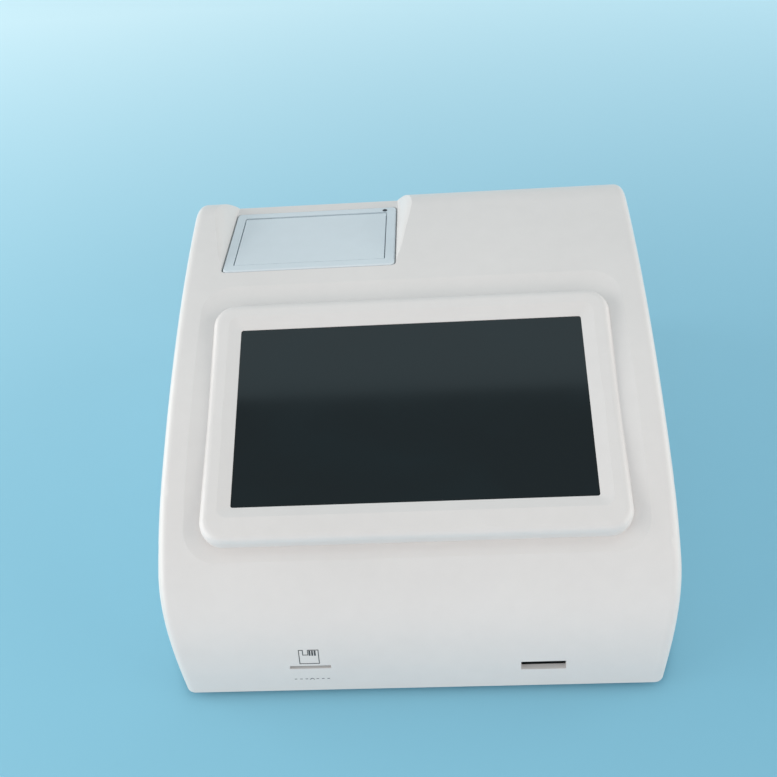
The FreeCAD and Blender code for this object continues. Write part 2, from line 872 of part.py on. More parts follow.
def make_display_bracket():
    """Sheet frame that presses the module against the glass and is screwed to the cover's bosses."""
    top = -glass_thickness - lcd_thickness
    low = top - bracket_thickness
    sheet = rounded_slab(-pocket_x + cover_gap * 2, pocket_x - cover_gap * 2, pocket_low + cover_gap * 2,
                         pocket_high - cover_gap * 2, bezel_corner - wall, low, top)
    half_slot = ribbon_width / 2 + bracket_slot_margin
    half_height = bracket_slot_height / 2
    cuts = [rounded_slab(ribbon_socket_x - half_slot, ribbon_socket_x + half_slot,
                         bracket_slot_v - half_height, bracket_slot_v + half_height, bracket_slot_margin,
                         low - cut_overrun, top + cut_overrun)]
    for x, v in display_boss_places():
        cuts.append(rod_z(small_screw_radius + seat_gap, low - cut_overrun, top + cut_overrun, x, v))
    return placed(sheet.cut(cuts), screen_frame)


def make_display_screws():
    """Screws that hold the display bracket, driven from inside."""
    low = -glass_thickness - lcd_thickness - bracket_thickness
    screws = []
    for x, v in display_boss_places():
        screw = pan_screw(small_screw_radius, small_screw_length, small_head_radius, small_head_height, 0)
        screw.rotate(Vector(0, 0, 0), Vector(1, 0, 0), 180)
        screws.append(placed(screw.translated(Vector(x, v, low)), screen_frame))
    return Part.makeCompound(screws)


def make_display_ribbon():
    """Flat ribbon from the back of the display module down to its socket on the main board."""
    back = -glass_thickness - lcd_thickness - ribbon_thickness / 2
    start = screen_frame.multVec(Vector(0, bracket_slot_v, back))
    end_y = ribbon_socket_y - half_depth
    end_z = board_top + ribbon_socket_height
    half = ribbon_width / 2
    points = [(start.y, start.z), (start.y + ribbon_thickness, start.z),
              (end_y + ribbon_thickness, end_z), (end_y, end_z)]
    return flat_prism(points, ribbon_socket_x - half, ribbon_socket_x + half)


# Main board
def make_main_board():
    """Main circuit board with its screw holes."""
    board = rounded_slab(board_left, board_right, board_front, board_rear, standoff_radius,
                         board_level, board_top)
    holes = [rod_z(small_screw_radius + seat_gap, 0, board_top + cut_overrun, x, y)
             for x, y in board_screw_places()]
    return board.cut(holes)


def make_board_screws():
    """Screws through the corners of the main board."""
    return screw_group(board_screw_places(), board_top, small_screw_length)


def make_board_components():
    """Chips, capacitors and sockets that stand on the main board."""
    solids = []
    for share, (y, width, length, height) in zip(chip_shares, chip_sizes):
        x = board_left + board_width * share
        low_y = board_front + y - length / 2
        solids.append(block(x - width / 2, x + width / 2, low_y, low_y + length, board_top,
                            board_top + height))
    for share, y in zip(capacitor_shares, capacitor_rows):
        x = board_left + board_width * share
        solids.append(rod_z(capacitor_radius, board_top, board_top + capacitor_height, x, board_front + y))
    y = ribbon_socket_y - half_depth
    half = ribbon_width / 2 + ribbon_socket_depth / 2
    solids.append(block(ribbon_socket_x - half, ribbon_socket_x + half, y - ribbon_socket_depth / 2,
                        y + ribbon_socket_depth / 2, board_top, board_top + ribbon_socket_height))
    return Part.makeCompound(solids)


def make_id_card_socket():
    """Socket behind the thin slot that takes the chip card."""
    half = id_socket_width / 2
    front = board_front - id_socket_reach
    body = block(id_slot_x - half, id_slot_x + half, front, front + id_socket_length, board_top,
                 board_top + id_socket_height)
    level = foot_height + id_slot_level
    mouth = block(id_slot_x - id_slot_width / 2, id_slot_x + id_slot_width / 2, front - cut_overrun,
                  front + id_card_depth, level - id_slot_height / 2, level + id_slot_height / 2)
    return body.cut(mouth)


def make_buzzer():
    """Round buzzer on the main board."""
    y = board_front + buzzer_y
    body = rod_z(buzzer_radius, board_top, board_top + buzzer_height, buzzer_x, y)
    port = rod_z(buzzer_port_radius, board_top + buzzer_height / 2, board_top + buzzer_height * 2,
                 buzzer_x, y)
    return body.cut(port)


# Test-card scanner
scan_front = scan_front_gap - half_depth
carrier_front = scan_front + scan_wall + carrier_front_gap
carrier_rear = carrier_front + carrier_length
scan_rear = carrier_rear + carrier_travel + carrier_end_gap
scan_floor = base_floor + scan_plate
channel_low = foot_height + slot_low
carrier_low = channel_low - carrier_floor
carrier_top = carrier_low + carrier_height
rod_z_level = base_floor + rod_height
screw_x = card_x + screw_offset
screw_z = base_floor + lead_screw_height
nut_top = screw_z + nut_height / 2
bridge_low = nut_top + bridge_gap
bridge_top = bridge_low + bridge_thickness
head_y = head_front - half_depth
head_mid = head_y + head_length / 2
flag_z = base_floor + scan_plate + flag_height


def make_reader_chassis():
    """Scanner chassis: floor plate, front and rear bearing walls and the bridge for the optical head."""
    left = card_x - scan_left
    right = card_x + scan_right
    solids = [block(left, right, scan_front, scan_rear + scan_wall, base_floor, scan_floor)]
    for y in (scan_front, scan_rear):
        solids.append(block(left, right, y, y + scan_wall, base_floor, base_floor + scan_wall_height))
    head_rear = head_y + head_length
    for x in (left, right - bridge_post):
        solids.append(block(x, x + bridge_post, head_y, head_rear, base_floor, bridge_top))
    solids.append(block(left, right, head_y, head_rear, bridge_low, bridge_top))
    chassis = fused(solids)
    mouth = slot_width / 2 + scan_mouth_margin
    mouth_low = channel_low - scan_mouth_margin
    mouth_high = channel_low + slot_height + scan_mouth_margin
    cuts = [block(card_x - mouth, card_x + mouth, scan_front - cut_overrun,
                  scan_front + scan_wall + seat_gap, mouth_low, mouth_high)]
    past_rear = scan_rear + scan_wall + cut_overrun
    for hand in (-1, 1):
        cuts.append(rod_y(rod_radius + shaft_gap, scan_front - cut_overrun, past_rear,
                          card_x + hand * rod_spread, rod_z_level))
    cuts.append(rod_y(lead_screw_radius + shaft_gap, scan_front - cut_overrun, past_rear, screw_x, screw_z))
    cuts.append(rod_z(lens_radius, bridge_low - cut_overrun, bridge_top + cut_overrun, card_x, head_mid))
    return chassis.cut(cuts)


def make_guide_rods():
    """Two rods that guide the card carrier."""
    rods = [rod_y(rod_radius, scan_front, scan_rear + scan_wall, card_x + hand * rod_spread, rod_z_level)
            for hand in (-1, 1)]
    return Part.makeCompound(rods)


def make_card_carrier():
    """Tray that takes the test card, with its reading window, nut lug and home flag."""
    half = carrier_width / 2
    body = block(card_x - half, card_x + half, carrier_front, carrier_rear, carrier_low, carrier_top)
    nut = block(card_x + half - seat_gap, card_x + half + nut_reach, carrier_rear - nut_length,
                carrier_rear, screw_z - nut_height / 2, nut_top)
    flag = block(card_x - half - flag_reach, card_x - half + seat_gap, carrier_rear - flag_length,
                 carrier_rear, flag_z - flag_thickness / 2, flag_z + flag_thickness / 2)
    carrier = fused([body, nut, flag])
    window = carrier_window_width / 2
    start = carrier_front + carrier_window_start
    cuts = [block(card_x - slot_width / 2, card_x + slot_width / 2, carrier_front - cut_overrun,
                  carrier_rear - carrier_end_wall, channel_low, channel_low + slot_height),
            block(card_x - window, card_x + window, start, start + carrier_window_length,
                  channel_low, carrier_top + cut_overrun),
            rod_y(lead_screw_radius + shaft_gap, carrier_rear - nut_length * 2, carrier_rear + cut_overrun,
                  screw_x, screw_z)]
    for hand in (-1, 1):
        cuts.append(rod_y(rod_radius + shaft_gap, carrier_front - cut_overrun, carrier_rear + cut_overrun,
                          card_x + hand * rod_spread, rod_z_level))
    return carrier.cut(cuts)


def make_lead_screw():
    """Plain shaft of the lead screw, from the front bearing into the motor."""
    end = scan_rear + scan_wall + motor_socket - seat_gap
    return rod_y(lead_screw_radius, scan_front, end, screw_x, screw_z)


def make_carrier_motor():
    """Round motor on the rear wall of the scanner, with a socket for the lead screw."""
    front = scan_rear + scan_wall
    can = rod_y(carrier_motor_radius, front, front + carrier_motor_length, screw_x, screw_z)
    return can.cut(rod_y(lead_screw_radius + shaft_gap, front - cut_overrun, front + motor_socket,
                         screw_x, screw_z))


def make_home_sensor():
    """Forked light barrier that sees the carrier's flag at the home position."""
    right = card_x - carrier_width / 2 - opto_gap
    left = right - opto_length
    low = flag_z - opto_slot / 2
    high = flag_z + opto_slot / 2
    front = carrier_rear - opto_length * opto_front_share
    body = block(left, right, front, front + opto_length, scan_floor, high + opto_arm)
    return body.cut(block(left + opto_arm, right + cut_overrun, front - cut_overrun,
                          front + opto_length + cut_overrun, low, high))


def lamp_bore(grow, reach, length):
    """Tilted round bore or lamp that points at the card from the rear of the optical head."""
    tilt = math.radians(led_tilt)
    aim = Vector(card_x, head_mid, channel_low + slot_height)
    axis = Vector(0, math.cos(tilt), math.sin(tilt))
    return Part.makeCylinder(led_radius + grow, length, aim + axis * reach, axis)


def make_optical_head():
    """Optical block over the card with the lens bore and the tilted bore for the lamp."""
    body = block(card_x - head_width / 2, card_x + head_width / 2, head_y, head_y + head_length,
                 bridge_top, bridge_top + optics_height)
    bore = rod_z(lens_radius + shaft_gap, bridge_top - cut_overrun, bridge_top + optics_height + cut_overrun,
                 card_x, head_mid)
    return body.cut([bore, lamp_bore(shaft_gap, led_reach + led_radius, led_length * 3)])


def make_objective_lens():
    """Lens seated in the optical head, bulging upwards."""
    low = bridge_top + lens_seat
    disc = rod_z(lens_radius, low, low + lens_thickness, card_x, head_mid)
    ball_radius = (lens_radius**2 + lens_thickness**2) / (2 * lens_thickness)
    ball = Part.makeSphere(ball_radius, Vector(card_x, head_mid, low + lens_thickness - ball_radius))
    return disc.common(ball)


def make_excitation_lamp():
    """Round lamp in the tilted bore of the optical head."""
    return lamp_bore(0, led_reach + led_radius * 2, led_length)


def make_photo_sensor():
    """Light sensor on top of the optical head."""
    low = bridge_top + optics_height
    half = sensor_size / 2
    return block(card_x - half, card_x + half, head_mid - half, head_mid + half, low, low + sensor_thickness)


# Panel printer, drawn in the plate's frame: X across, Y along the plate, Z square to it
door_x = door_width / 2
door_v = door_length / 2
barrel_v = door_v - hinge_barrel_radius
barrel_w = -door_drop - hinge_barrel_radius
door_low = -door_drop - door_thickness
bucket_x = bucket_width / 2
bucket_v = bucket_length / 2
bucket_floor = bucket_wall - bucket_depth
chassis_front_v = bucket_wall - bucket_v
cross_rear_v = chassis_front_v + chassis_thickness
head_face_v = platen_v - platen_radius - head_gap
head_back_v = head_face_v - head_thickness
gear_start = chassis_x + chassis_thickness + gear_side_gap
gear_end = gear_start + gear_width
roll_w = bucket_floor + roll_floor_gap + roll_radius


def centre_distance(first_teeth, second_teeth):
    """Distance between two meshed gears."""
    return gear_module * (first_teeth + second_teeth) / 2 + mesh_gap


def step_from(v, w, distance, bearing):
    """Point at a distance and bearing from another in the printer's side view."""
    angle = math.radians(bearing)
    return v + distance * math.cos(angle), w + distance * math.sin(angle)


idler_v, idler_w = step_from(platen_v, platen_w, centre_distance(platen_teeth, idler_teeth), idler_bearing)
pinion_v, pinion_w = step_from(idler_v, idler_w, centre_distance(idler_teeth, pinion_teeth), pinion_bearing)
platen_phase = idler_bearing + 180 / platen_teeth
idler_phase = idler_bearing + 180
idler_turns = ((pinion_bearing - idler_phase) * idler_teeth / 360) % 1
pinion_phase = pinion_bearing + 180 + (idler_turns + 0.5) * 360 / pinion_teeth


def gear(teeth, v, w, phase):
    """Spur gear along X with one tooth at the phase angle."""
    pitch_radius = gear_module * teeth / 2
    tip_radius = pitch_radius + gear_module * addendum_share
    root_radius = pitch_radius - gear_module * dedendum_share
    points = []
    for number in range(teeth):
        middle = math.radians(phase + number * 360 / teeth)
        half_pitch = math.pi / teeth
        for radius, share in ((root_radius, -tooth_base_share), (pitch_radius, -tooth_pitch_share),
                              (tip_radius, -tooth_tip_share), (tip_radius, tooth_tip_share),
                              (pitch_radius, tooth_pitch_share), (root_radius, tooth_base_share)):
            angle = middle + share * half_pitch
            points.append(Vector(gear_start, v + radius * math.cos(angle), w + radius * math.sin(angle)))
    face = Part.Face(Part.makePolygon(points + points[:1]))
    return face.extrude(Vector(gear_width, 0, 0))


def make_printer_frame():
    """Printer plate with its door opening, and the paper bucket under it, in one moulding."""
    plate = rounded_slab(-plate_x, plate_x, -plate_v, plate_v, plate_corner, -plate_thickness, 0)
    rim = [edge for edge in plate.Edges if abs(edge.CenterOfMass.z) < seat_gap / 2]
    plate = plate.makeFillet(plate_edge_round, rim)
    bucket = rounded_slab(-bucket_x, bucket_x, -bucket_v, bucket_v, bucket_corner, -bucket_depth,
                          -plate_thickness / 2)
    inner_x = bucket_x - bucket_wall
    inner_v = bucket_v - bucket_wall
    inside = rounded_slab(-inner_x, inner_x, -inner_v, inner_v, bucket_corner - bucket_wall, bucket_floor,
                          -plate_thickness)
    opening = rounded_slab(-door_x - door_gap, door_x + door_gap, -door_v - door_gap, door_v + door_gap,
                           door_gap * 2, -plate_thickness - seat_gap, cut_overrun)
    seat_end = door_x + door_gap + hinge_seat
    pin_hole = rod_x(hinge_pin_radius + shaft_gap, -seat_end, seat_end, barrel_v, barrel_w)
    lamp_hole = rod_z(lamp_radius + shaft_gap, -lamp_length - door_gap, cut_overrun,
                      plate_x - lamp_inset_x, plate_v - lamp_inset_y)
    frame = plate.fuse(bucket).cut([inside, opening, pin_hole, lamp_hole])
    return placed(frame.removeSplitter(), printer_frame)


def make_printer_door():
    """Door with its hinge barrel and the two arms that carry the platen."""
    sheet = rounded_slab(-door_x, door_x, -door_v, barrel_v, door_gap, door_low, -door_drop)
    rim = [edge for edge in sheet.Edges
           if abs(edge.CenterOfMass.z + door_drop) < seat_gap / 2 and edge.CenterOfMass.y < barrel_v - seat_gap]
    sheet = sheet.makeFillet(door_edge_round, rim)
    barrel = rod_x(hinge_barrel_radius, -door_x, door_x, barrel_v, barrel_w)
    arms = []
    for hand in (-1, 1):
        inner = hand * arm_inner_x
        outer = hand * (arm_inner_x + arm_thickness)
        x0, x1 = min(inner, outer), max(inner, outer)
        arm = block(x0, x1, platen_v - arm_half_length, platen_v + arm_half_length, platen_w,
                    door_low + seat_gap)
        arms.append(arm.fuse(rod_x(arm_half_length, x0, x1, platen_v, platen_w)))
    door = fused([sheet, barrel] + arms)
    bores = [rod_x(hinge_pin_radius + shaft_gap, -bucket_x, bucket_x, barrel_v, barrel_w),
             rod_x(platen_shaft_radius + shaft_gap, -bucket_x, bucket_x, platen_v, platen_w)]
    return placed(door.cut(bores), printer_frame)


def make_door_hinge_pin():
    """Steel pin through the door's barrel, seated in the frame at both ends."""
    end = door_x + door_gap + hinge_seat - seat_gap
    return placed(rod_x(hinge_pin_radius, -end, end, barrel_v, barrel_w), printer_frame)


def make_platen_roller():
    """Rubber sleeve of the platen."""
    sleeve = rod_x(platen_radius, -platen_half_length, platen_half_length, platen_v, platen_w)
    bore = rod_x(platen_shaft_radius, -platen_half_length, platen_half_length, platen_v, platen_w)
    return placed(sleeve.cut(bore), printer_frame)


def make_platen_gear():
    """Platen shaft with its gear at the right end."""
    start = -chassis_x - chassis_thickness - shaft_overhang
    shaft = rod_x(platen_shaft_radius, start, gear_end + gear_side_gap / 2, platen_v, platen_w)
    wheel = gear(platen_teeth, platen_v, platen_w, platen_phase)
    return placed(fused([shaft, wheel]), printer_frame)


def make_idler_gear():
    """Gear between the motor pinion and the platen gear."""
    wheel = gear(idler_teeth, idler_v, idler_w, idler_phase)
    bore = rod_x(platen_shaft_radius + shaft_gap, chassis_x, bucket_x, idler_v, idler_w)
    return placed(wheel.cut(bore), printer_frame)


def make_motor_pinion():
    """Small gear on the printer motor's shaft."""
    wheel = gear(pinion_teeth, pinion_v, pinion_w, pinion_phase)
    shaft = rod_x(pinion_shaft_radius, chassis_x - gear_side_gap, gear_end, pinion_v, pinion_w)
    return placed(fused([wheel, shaft]), printer_frame)


def make_printer_motor():
    """Motor can on the right side plate of the print mechanism."""
    can = rod_x(motor_radius, chassis_x - motor_length, chassis_x, pinion_v, pinion_w)
    socket = rod_x(pinion_shaft_radius + shaft_gap, chassis_x - gear_side_gap - seat_gap, bucket_x,
                   pinion_v, pinion_w)
    return placed(can.cut(socket), printer_frame)


def make_printer_chassis():
    """Folded sheet with two side plates, open notches for the platen shaft and the idler's stub."""
    outer = chassis_x + chassis_thickness
    solids = [block(-outer, outer, chassis_front_v, cross_rear_v, chassis_low_w, cross_top_w)]
    for x in (-outer, chassis_x):
        solids.append(block(x, x + chassis_thickness, chassis_front_v, chassis_rear_v, chassis_low_w,
                            chassis_top_w))
    chassis = fused(solids)
    notch = platen_shaft_radius + notch_gap
    cuts = []
    for x in (-outer - seat_gap, chassis_x - seat_gap):
        x_end = x + chassis_thickness + seat_gap * 2
        cuts.append(block(x, x_end, platen_v - notch, platen_v + notch, platen_w,
                          chassis_top_w + cut_overrun))
        cuts.append(rod_x(notch, x, x_end, platen_v, platen_w))
    cuts.append(rod_x(pinion_shaft_radius + notch_gap, chassis_x - seat_gap, outer + seat_gap,
                      pinion_v, pinion_w))
    stub = rod_x(platen_shaft_radius, chassis_x, gear_end + gear_side_gap / 2, idler_v, idler_w)
    return placed(fused([chassis.cut(cuts), stub]), printer_frame)


def make_print_head():
    """Thermal print head: an upright plate facing the platen on a foot."""
    top = chassis_top_w + head_top_gap
    low = top - head_height
    plate = block(-head_half_length, head_half_length, head_back_v, head_face_v, low, top)
    foot = block(-head_half_length, head_half_length, cross_rear_v, head_face_v, low - head_foot_height, low)
    return placed(fused([plate, foot]), printer_frame)


def make_head_springs():
    """Two short springs that press the print head towards the platen."""
    level = chassis_top_w - head_spring_radius * 2
    springs = [rod_y(head_spring_radius, cross_rear_v, head_back_v, hand * head_spring_x, level)
               for hand in (-1, 1)]
    return placed(Part.makeCompound(springs), printer_frame)


def make_paper_roll():
    """Paper wound on its core."""
    half = roll_width / 2
    roll = rod_x(roll_radius, -half, half, roll_v, roll_w)
    return placed(roll.cut(rod_x(core_radius, -half, half, roll_v, roll_w)), printer_frame)


def make_paper_core():
    """Plastic core of the paper roll."""
    half = roll_width / 2
    core = rod_x(core_radius, -half, half, roll_v, roll_w)
    return placed(core.cut(rod_x(core_radius - core_wall, -half, half, roll_v, roll_w)), printer_frame)


def make_paper_lamp():
    """Small round lamp with a domed top at the rear right corner of the printer plate."""
    x = plate_x - lamp_inset_x
    v = plate_v - lamp_inset_y
    ball_radius = (lamp_radius**2 + lamp_dome**2) / (2 * lamp_dome)
    ball = Part.makeSphere(ball_radius, Vector(x, v, lamp_dome - ball_radius))
    dome = rod_z(lamp_radius, -seat_gap, lamp_dome * 2, x, v).common(ball)
    return placed(fused([rod_z(lamp_radius, -lamp_length, 0, x, v), dome]), printer_frame)


# Rear panel and its sockets
port_z = foot_height + port_level
nose_end = panel_rear + port_nose
rocker_y = panel_rear - rocker_axis_depth


def port_hole(x, width, height, grow):
    """Rectangular hole through the rear panel, or with no growth the nose that fills it."""
    half = width / 2 + grow
    up = height / 2 + grow
    return block(x - half, x + half, panel_front - grow, nose_end if not grow else half_depth,
                 port_z - up, port_z + up)


def serial_shell(x, grow, y0, y1):
    """Tapered shell of the serial socket as a solid between two depths."""
    half = serial_shell_width / 2 + grow
    up = serial_shell_height / 2 + grow
    low_half = half - serial_taper
    corners = [(x - low_half, port_z - up), (x + low_half, port_z - up), (x + half, port_z + up),
               (x - half, port_z + up)]
    points = [Vector(a, y0, b) for a, b in corners]
    face = Part.Face(Part.makePolygon(points + points[:1]))
    return face.extrude(Vector(0, y1 - y0, 0))


def make_rear_panel():
    """Folded sheet panel behind the opening in the rear wall, with a cut-out for each socket."""
    top = foot_height + panel_opening_low + panel_opening_height + panel_top_margin
    x0 = panel_x - panel_width / 2
    x1 = panel_x + panel_width / 2
    sheet = block(x0, x1, panel_front, panel_rear, base_floor, top)
    flange = block(x0, x1, panel_rear - panel_flange, panel_rear, base_floor, base_floor + panel_thickness)
    panel = fused([sheet, flange])
    switch_body = (switch_width - switch_flange * 2, switch_height - switch_flange * 2)
    cuts = [rod_y(inlet_size / 2 + seat_gap, panel_front - seat_gap, half_depth, inlet_x, port_z),
            port_hole(switch_x, *switch_body, seat_gap),
            port_hole(lan_x, lan_width, lan_height, seat_gap),
            serial_shell(serial_x, seat_gap, panel_front - seat_gap, half_depth)]
    for x in usb_places:
        cuts.append(port_hole(x, usb_width, usb_height, seat_gap))
    for hand in (-1, 1):
        cuts.append(rod_z(small_screw_radius + seat_gap, base_floor - seat_gap, board_level,
                          panel_x + hand * panel_screw_x, panel_rear - panel_flange / 2))
    return panel.cut(cuts)


def make_panel_screws():
    """Two screws that hold the panel's flange on the base."""
    places = [(panel_x + hand * panel_screw_x, panel_rear - panel_flange / 2) for hand in (-1, 1)]
    return screw_group(places, base_floor + panel_thickness, panel_screw_length)


def make_power_inlet():
    """Round low-voltage inlet with its centre pin."""
    half = inlet_size / 2
    body = block(inlet_x - half, inlet_x + half, panel_front - inlet_depth, panel_front,
                 port_z - half, port_z + half)
    nose = rod_y(half, panel_front, nose_end, inlet_x, port_z)
    back = panel_front - inlet_depth
    bore = rod_y(inlet_bore_radius, back + inlet_pin_radius, half_depth, inlet_x, port_z)
    pin = rod_y(inlet_pin_radius, back, panel_rear, inlet_x, port_z)
    return fused([fused([body, nose]).cut(bore), pin])


def make_switch_frame():
    """Frame of the power switch with its cavity and the seats for the rocker's pin."""
    body_half = switch_width / 2 - switch_flange
    body_up = switch_height / 2 - switch_flange
    body = block(switch_x - body_half, switch_x + body_half, panel_front - switch_depth, panel_rear,
                 port_z - body_up, port_z + body_up)
    flange = block(switch_x - switch_width / 2, switch_x + switch_width / 2, panel_rear,
                   panel_rear + switch_flange, port_z - switch_height / 2, port_z + switch_height / 2)
    inner_half = rocker_radius + cover_gap
    inner_up = rocker_width / 2 + cover_gap
    cavity = block(switch_x - inner_half, switch_x + inner_half, panel_front - switch_depth + switch_wall,
                   half_depth, port_z - inner_up, port_z + inner_up)
    seats = rod_z(rocker_pin_radius + shaft_gap, port_z - inner_up - switch_wall / 2,
                  port_z + inner_up + switch_wall / 2, switch_x, rocker_y)
    return fused([body, flange]).cut([cavity, seats])


def make_power_rocker():
    """Rocker with a shallow V face, resting with one side pressed in."""
    half_height = rocker_width / 2
    drum = rod_z(rocker_radius, port_z - half_height, port_z + half_height, switch_x, rocker_y)
    reach = rocker_radius * 2
    rise = reach * math.tan(math.radians(rocker_tilt))
    back = rocker_y - rocker_radius / 2
    outline = [(-reach, rocker_y + rocker_face + rise), (0, rocker_y + rocker_face),
               (reach, rocker_y + rocker_face + rise), (reach, back), (-reach, back)]
    points = [Vector(switch_x + x, y, port_z - half_height) for x, y in outline]
    face = Part.Face(Part.makePolygon(points + points[:1]))
    rocker = drum.common(face.extrude(Vector(0, 0, rocker_width)))
    pin_reach = half_height + cover_gap + switch_wall / 2 - seat_gap
    pin = rod_z(rocker_pin_radius, port_z - pin_reach, port_z + pin_reach, switch_x, rocker_y)
    rocker = fused([rocker, pin])
    rocker.rotate(Vector(switch_x, rocker_y, port_z), Vector(0, 0, 1), rocker_tilt)
    return rocker


def make_usb_ports():
    """Two flat sockets with a metal shell and a tongue."""
    ports = []
    for x in usb_places:
        half = usb_width / 2
        up = usb_height / 2
        back = panel_front - usb_depth
        shell = block(x - half, x + half, back, nose_end, port_z - up, port_z + up)
        mouth = block(x - half + usb_shell, x + half - usb_shell, back + usb_shell * 4, half_depth,
                      port_z - up + usb_shell, port_z + up - usb_shell)
        tongue = block(x - half + usb_shell * 2, x + half - usb_shell * 2, back, panel_rear,
                       port_z, port_z + up - usb_shell * 2)
        ports.append(fused([shell.cut(mouth), tongue]))
    return Part.makeCompound(ports)


def make_lan_port():
    """Network socket with its stepped mouth."""
    half = lan_width / 2
    up = lan_height / 2
    body = block(lan_x - half, lan_x + half, panel_front - lan_depth, nose_end, port_z - up, port_z + up)
    mouth_half = lan_mouth_width / 2
    mouth_low = port_z - lan_mouth_height / 2
    mouth = block(lan_x - mouth_half, lan_x + mouth_half, panel_front - lan_depth / 2, half_depth,
                  mouth_low, mouth_low + lan_mouth_height)
    latch = block(lan_x - mouth_half / 2, lan_x + mouth_half / 2, panel_front - lan_depth / 2, half_depth,
                  mouth_low - (up - lan_mouth_height / 2) / 2, mouth_low + seat_gap)
    return body.cut([mouth, latch])


def make_serial_port():
    """Nine-way serial socket: body, flange, tapered shell and two hexagon nuts."""
    half = serial_width / 2
    up = serial_height / 2
    body = block(serial_x - half, serial_x + half, panel_front - serial_depth, panel_front,
                 port_z - up, port_z + up)
    shell = serial_shell(serial_x, 0, panel_front - seat_gap, nose_end)
    core = serial_shell(serial_x, -usb_shell, panel_rear, half_depth)
    return fused([body, shell]).cut(core)


def make_serial_nuts():
    """Hexagon nuts beside the serial socket, on the outside of the panel."""
    nuts = []
    for hand in (-1, 1):
        points = []
        for corner in range(serial_nut_sides + 1):
            angle = 2 * math.pi * corner / serial_nut_sides
            points.append(Vector(serial_x + hand * serial_nut_spread + serial_nut_radius * math.cos(angle),
                                 panel_rear, port_z + serial_nut_radius * math.sin(angle)))
        nut = Part.Face(Part.makePolygon(points)).extrude(Vector(0, port_nose, 0))
        nuts.append(nut)
    return Part.makeCompound(nuts)


pieces = {
    "top_cover": make_top_cover, "base_cover": make_base_cover, "rubber_feet": make_rubber_feet,
    "housing_screws": make_housing_screws, "display_glass": make_display_glass,
    "lcd_module": make_lcd_module, "display_bracket": make_display_bracket,
    "display_screws": make_display_screws, "display_ribbon": make_display_ribbon,
    "main_board": make_main_board, "board_screws": make_board_screws,
    "board_components": make_board_components,
    "id_card_socket": make_id_card_socket, "buzzer": make_buzzer,
    "reader_chassis": make_reader_chassis, "guide_rods": make_guide_rods,
    "card_carrier": make_card_carrier, "lead_screw": make_lead_screw,
    "carrier_motor": make_carrier_motor, "home_sensor": make_home_sensor,
    "optical_head": make_optical_head, "objective_lens": make_objective_lens,
    "excitation_lamp": make_excitation_lamp, "photo_sensor": make_photo_sensor,
    "printer_frame": make_printer_frame, "printer_door": make_printer_door,
    "door_hinge_pin": make_door_hinge_pin, "platen_roller": make_platen_roller,
    "platen_gear": make_platen_gear, "idler_gear": make_idler_gear, "motor_pinion": make_motor_pinion,
    "printer_motor": make_printer_motor, "printer_chassis": make_printer_chassis,
    "print_head": make_print_head, "head_springs": make_head_springs, "paper_roll": make_paper_roll,
    "paper_core": make_paper_core, "paper_lamp": make_paper_lamp, "rear_panel": make_rear_panel,
    "panel_screws": make_panel_screws, "power_inlet": make_power_inlet,
    "switch_frame": make_switch_frame, "power_rocker": make_power_rocker, "usb_ports": make_usb_ports,
    "lan_port": make_lan_port, "serial_port": make_serial_port, "serial_nuts": make_serial_nuts,
}
for name, make in pieces.items():
    make().exportStep(f"parts/{name}.step")
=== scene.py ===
"""Dressed scene of a bench-top rapid test reader: finishes, small fitted pieces, floor, lights and camera."""

import logging
import math
from dataclasses import dataclass
from enum import Enum
from typing import Callable, Optional, Sequence

import bpy
from mathutils import Matrix, Vector


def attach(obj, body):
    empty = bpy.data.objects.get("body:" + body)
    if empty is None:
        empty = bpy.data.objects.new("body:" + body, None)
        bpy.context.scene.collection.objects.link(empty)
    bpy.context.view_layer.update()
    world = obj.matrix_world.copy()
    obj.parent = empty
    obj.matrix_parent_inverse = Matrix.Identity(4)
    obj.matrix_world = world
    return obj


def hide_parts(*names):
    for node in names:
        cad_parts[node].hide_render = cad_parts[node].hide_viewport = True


Colour = tuple[float, float, float]
Point = tuple[float, float, float]
Node = bpy.types.Node
Socket = bpy.types.NodeSocket
Piece = bpy.types.Object

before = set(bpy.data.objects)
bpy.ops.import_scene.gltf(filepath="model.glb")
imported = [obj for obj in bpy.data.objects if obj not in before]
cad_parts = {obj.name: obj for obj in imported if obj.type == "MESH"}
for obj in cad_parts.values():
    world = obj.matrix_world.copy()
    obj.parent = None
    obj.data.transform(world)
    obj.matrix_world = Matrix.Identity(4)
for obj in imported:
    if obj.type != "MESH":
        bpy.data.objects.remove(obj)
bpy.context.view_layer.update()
INK_FILM = 0.00003
log = logging.getLogger("reader")


class Axis(Enum):
    """Direction that a mould line, a brush line or a row runs in."""

    X = 0
    Y = 1
    Z = 2


class Sheen(Enum):
    """How glossy a moulded plastic is, as its roughness."""

    MATT = 0.40
    GLOSS = 0.22


def linear(red: int, green: int, blue: int) -> Colour:
    """Returns the linear colour of an sRGB colour given in steps of 255."""
    return tuple(c / 12.92 if c <= 0.04045 else ((c + 0.055) / 1.055) ** 2.4
                 for c in (red / 255, green / 255, blue / 255))


def rgba(colour: Colour) -> tuple[float, float, float, float]:
    """Returns a colour with full alpha."""
    return (*colour, 1.0)


# ---------------------------------------------------------------- shader nodes


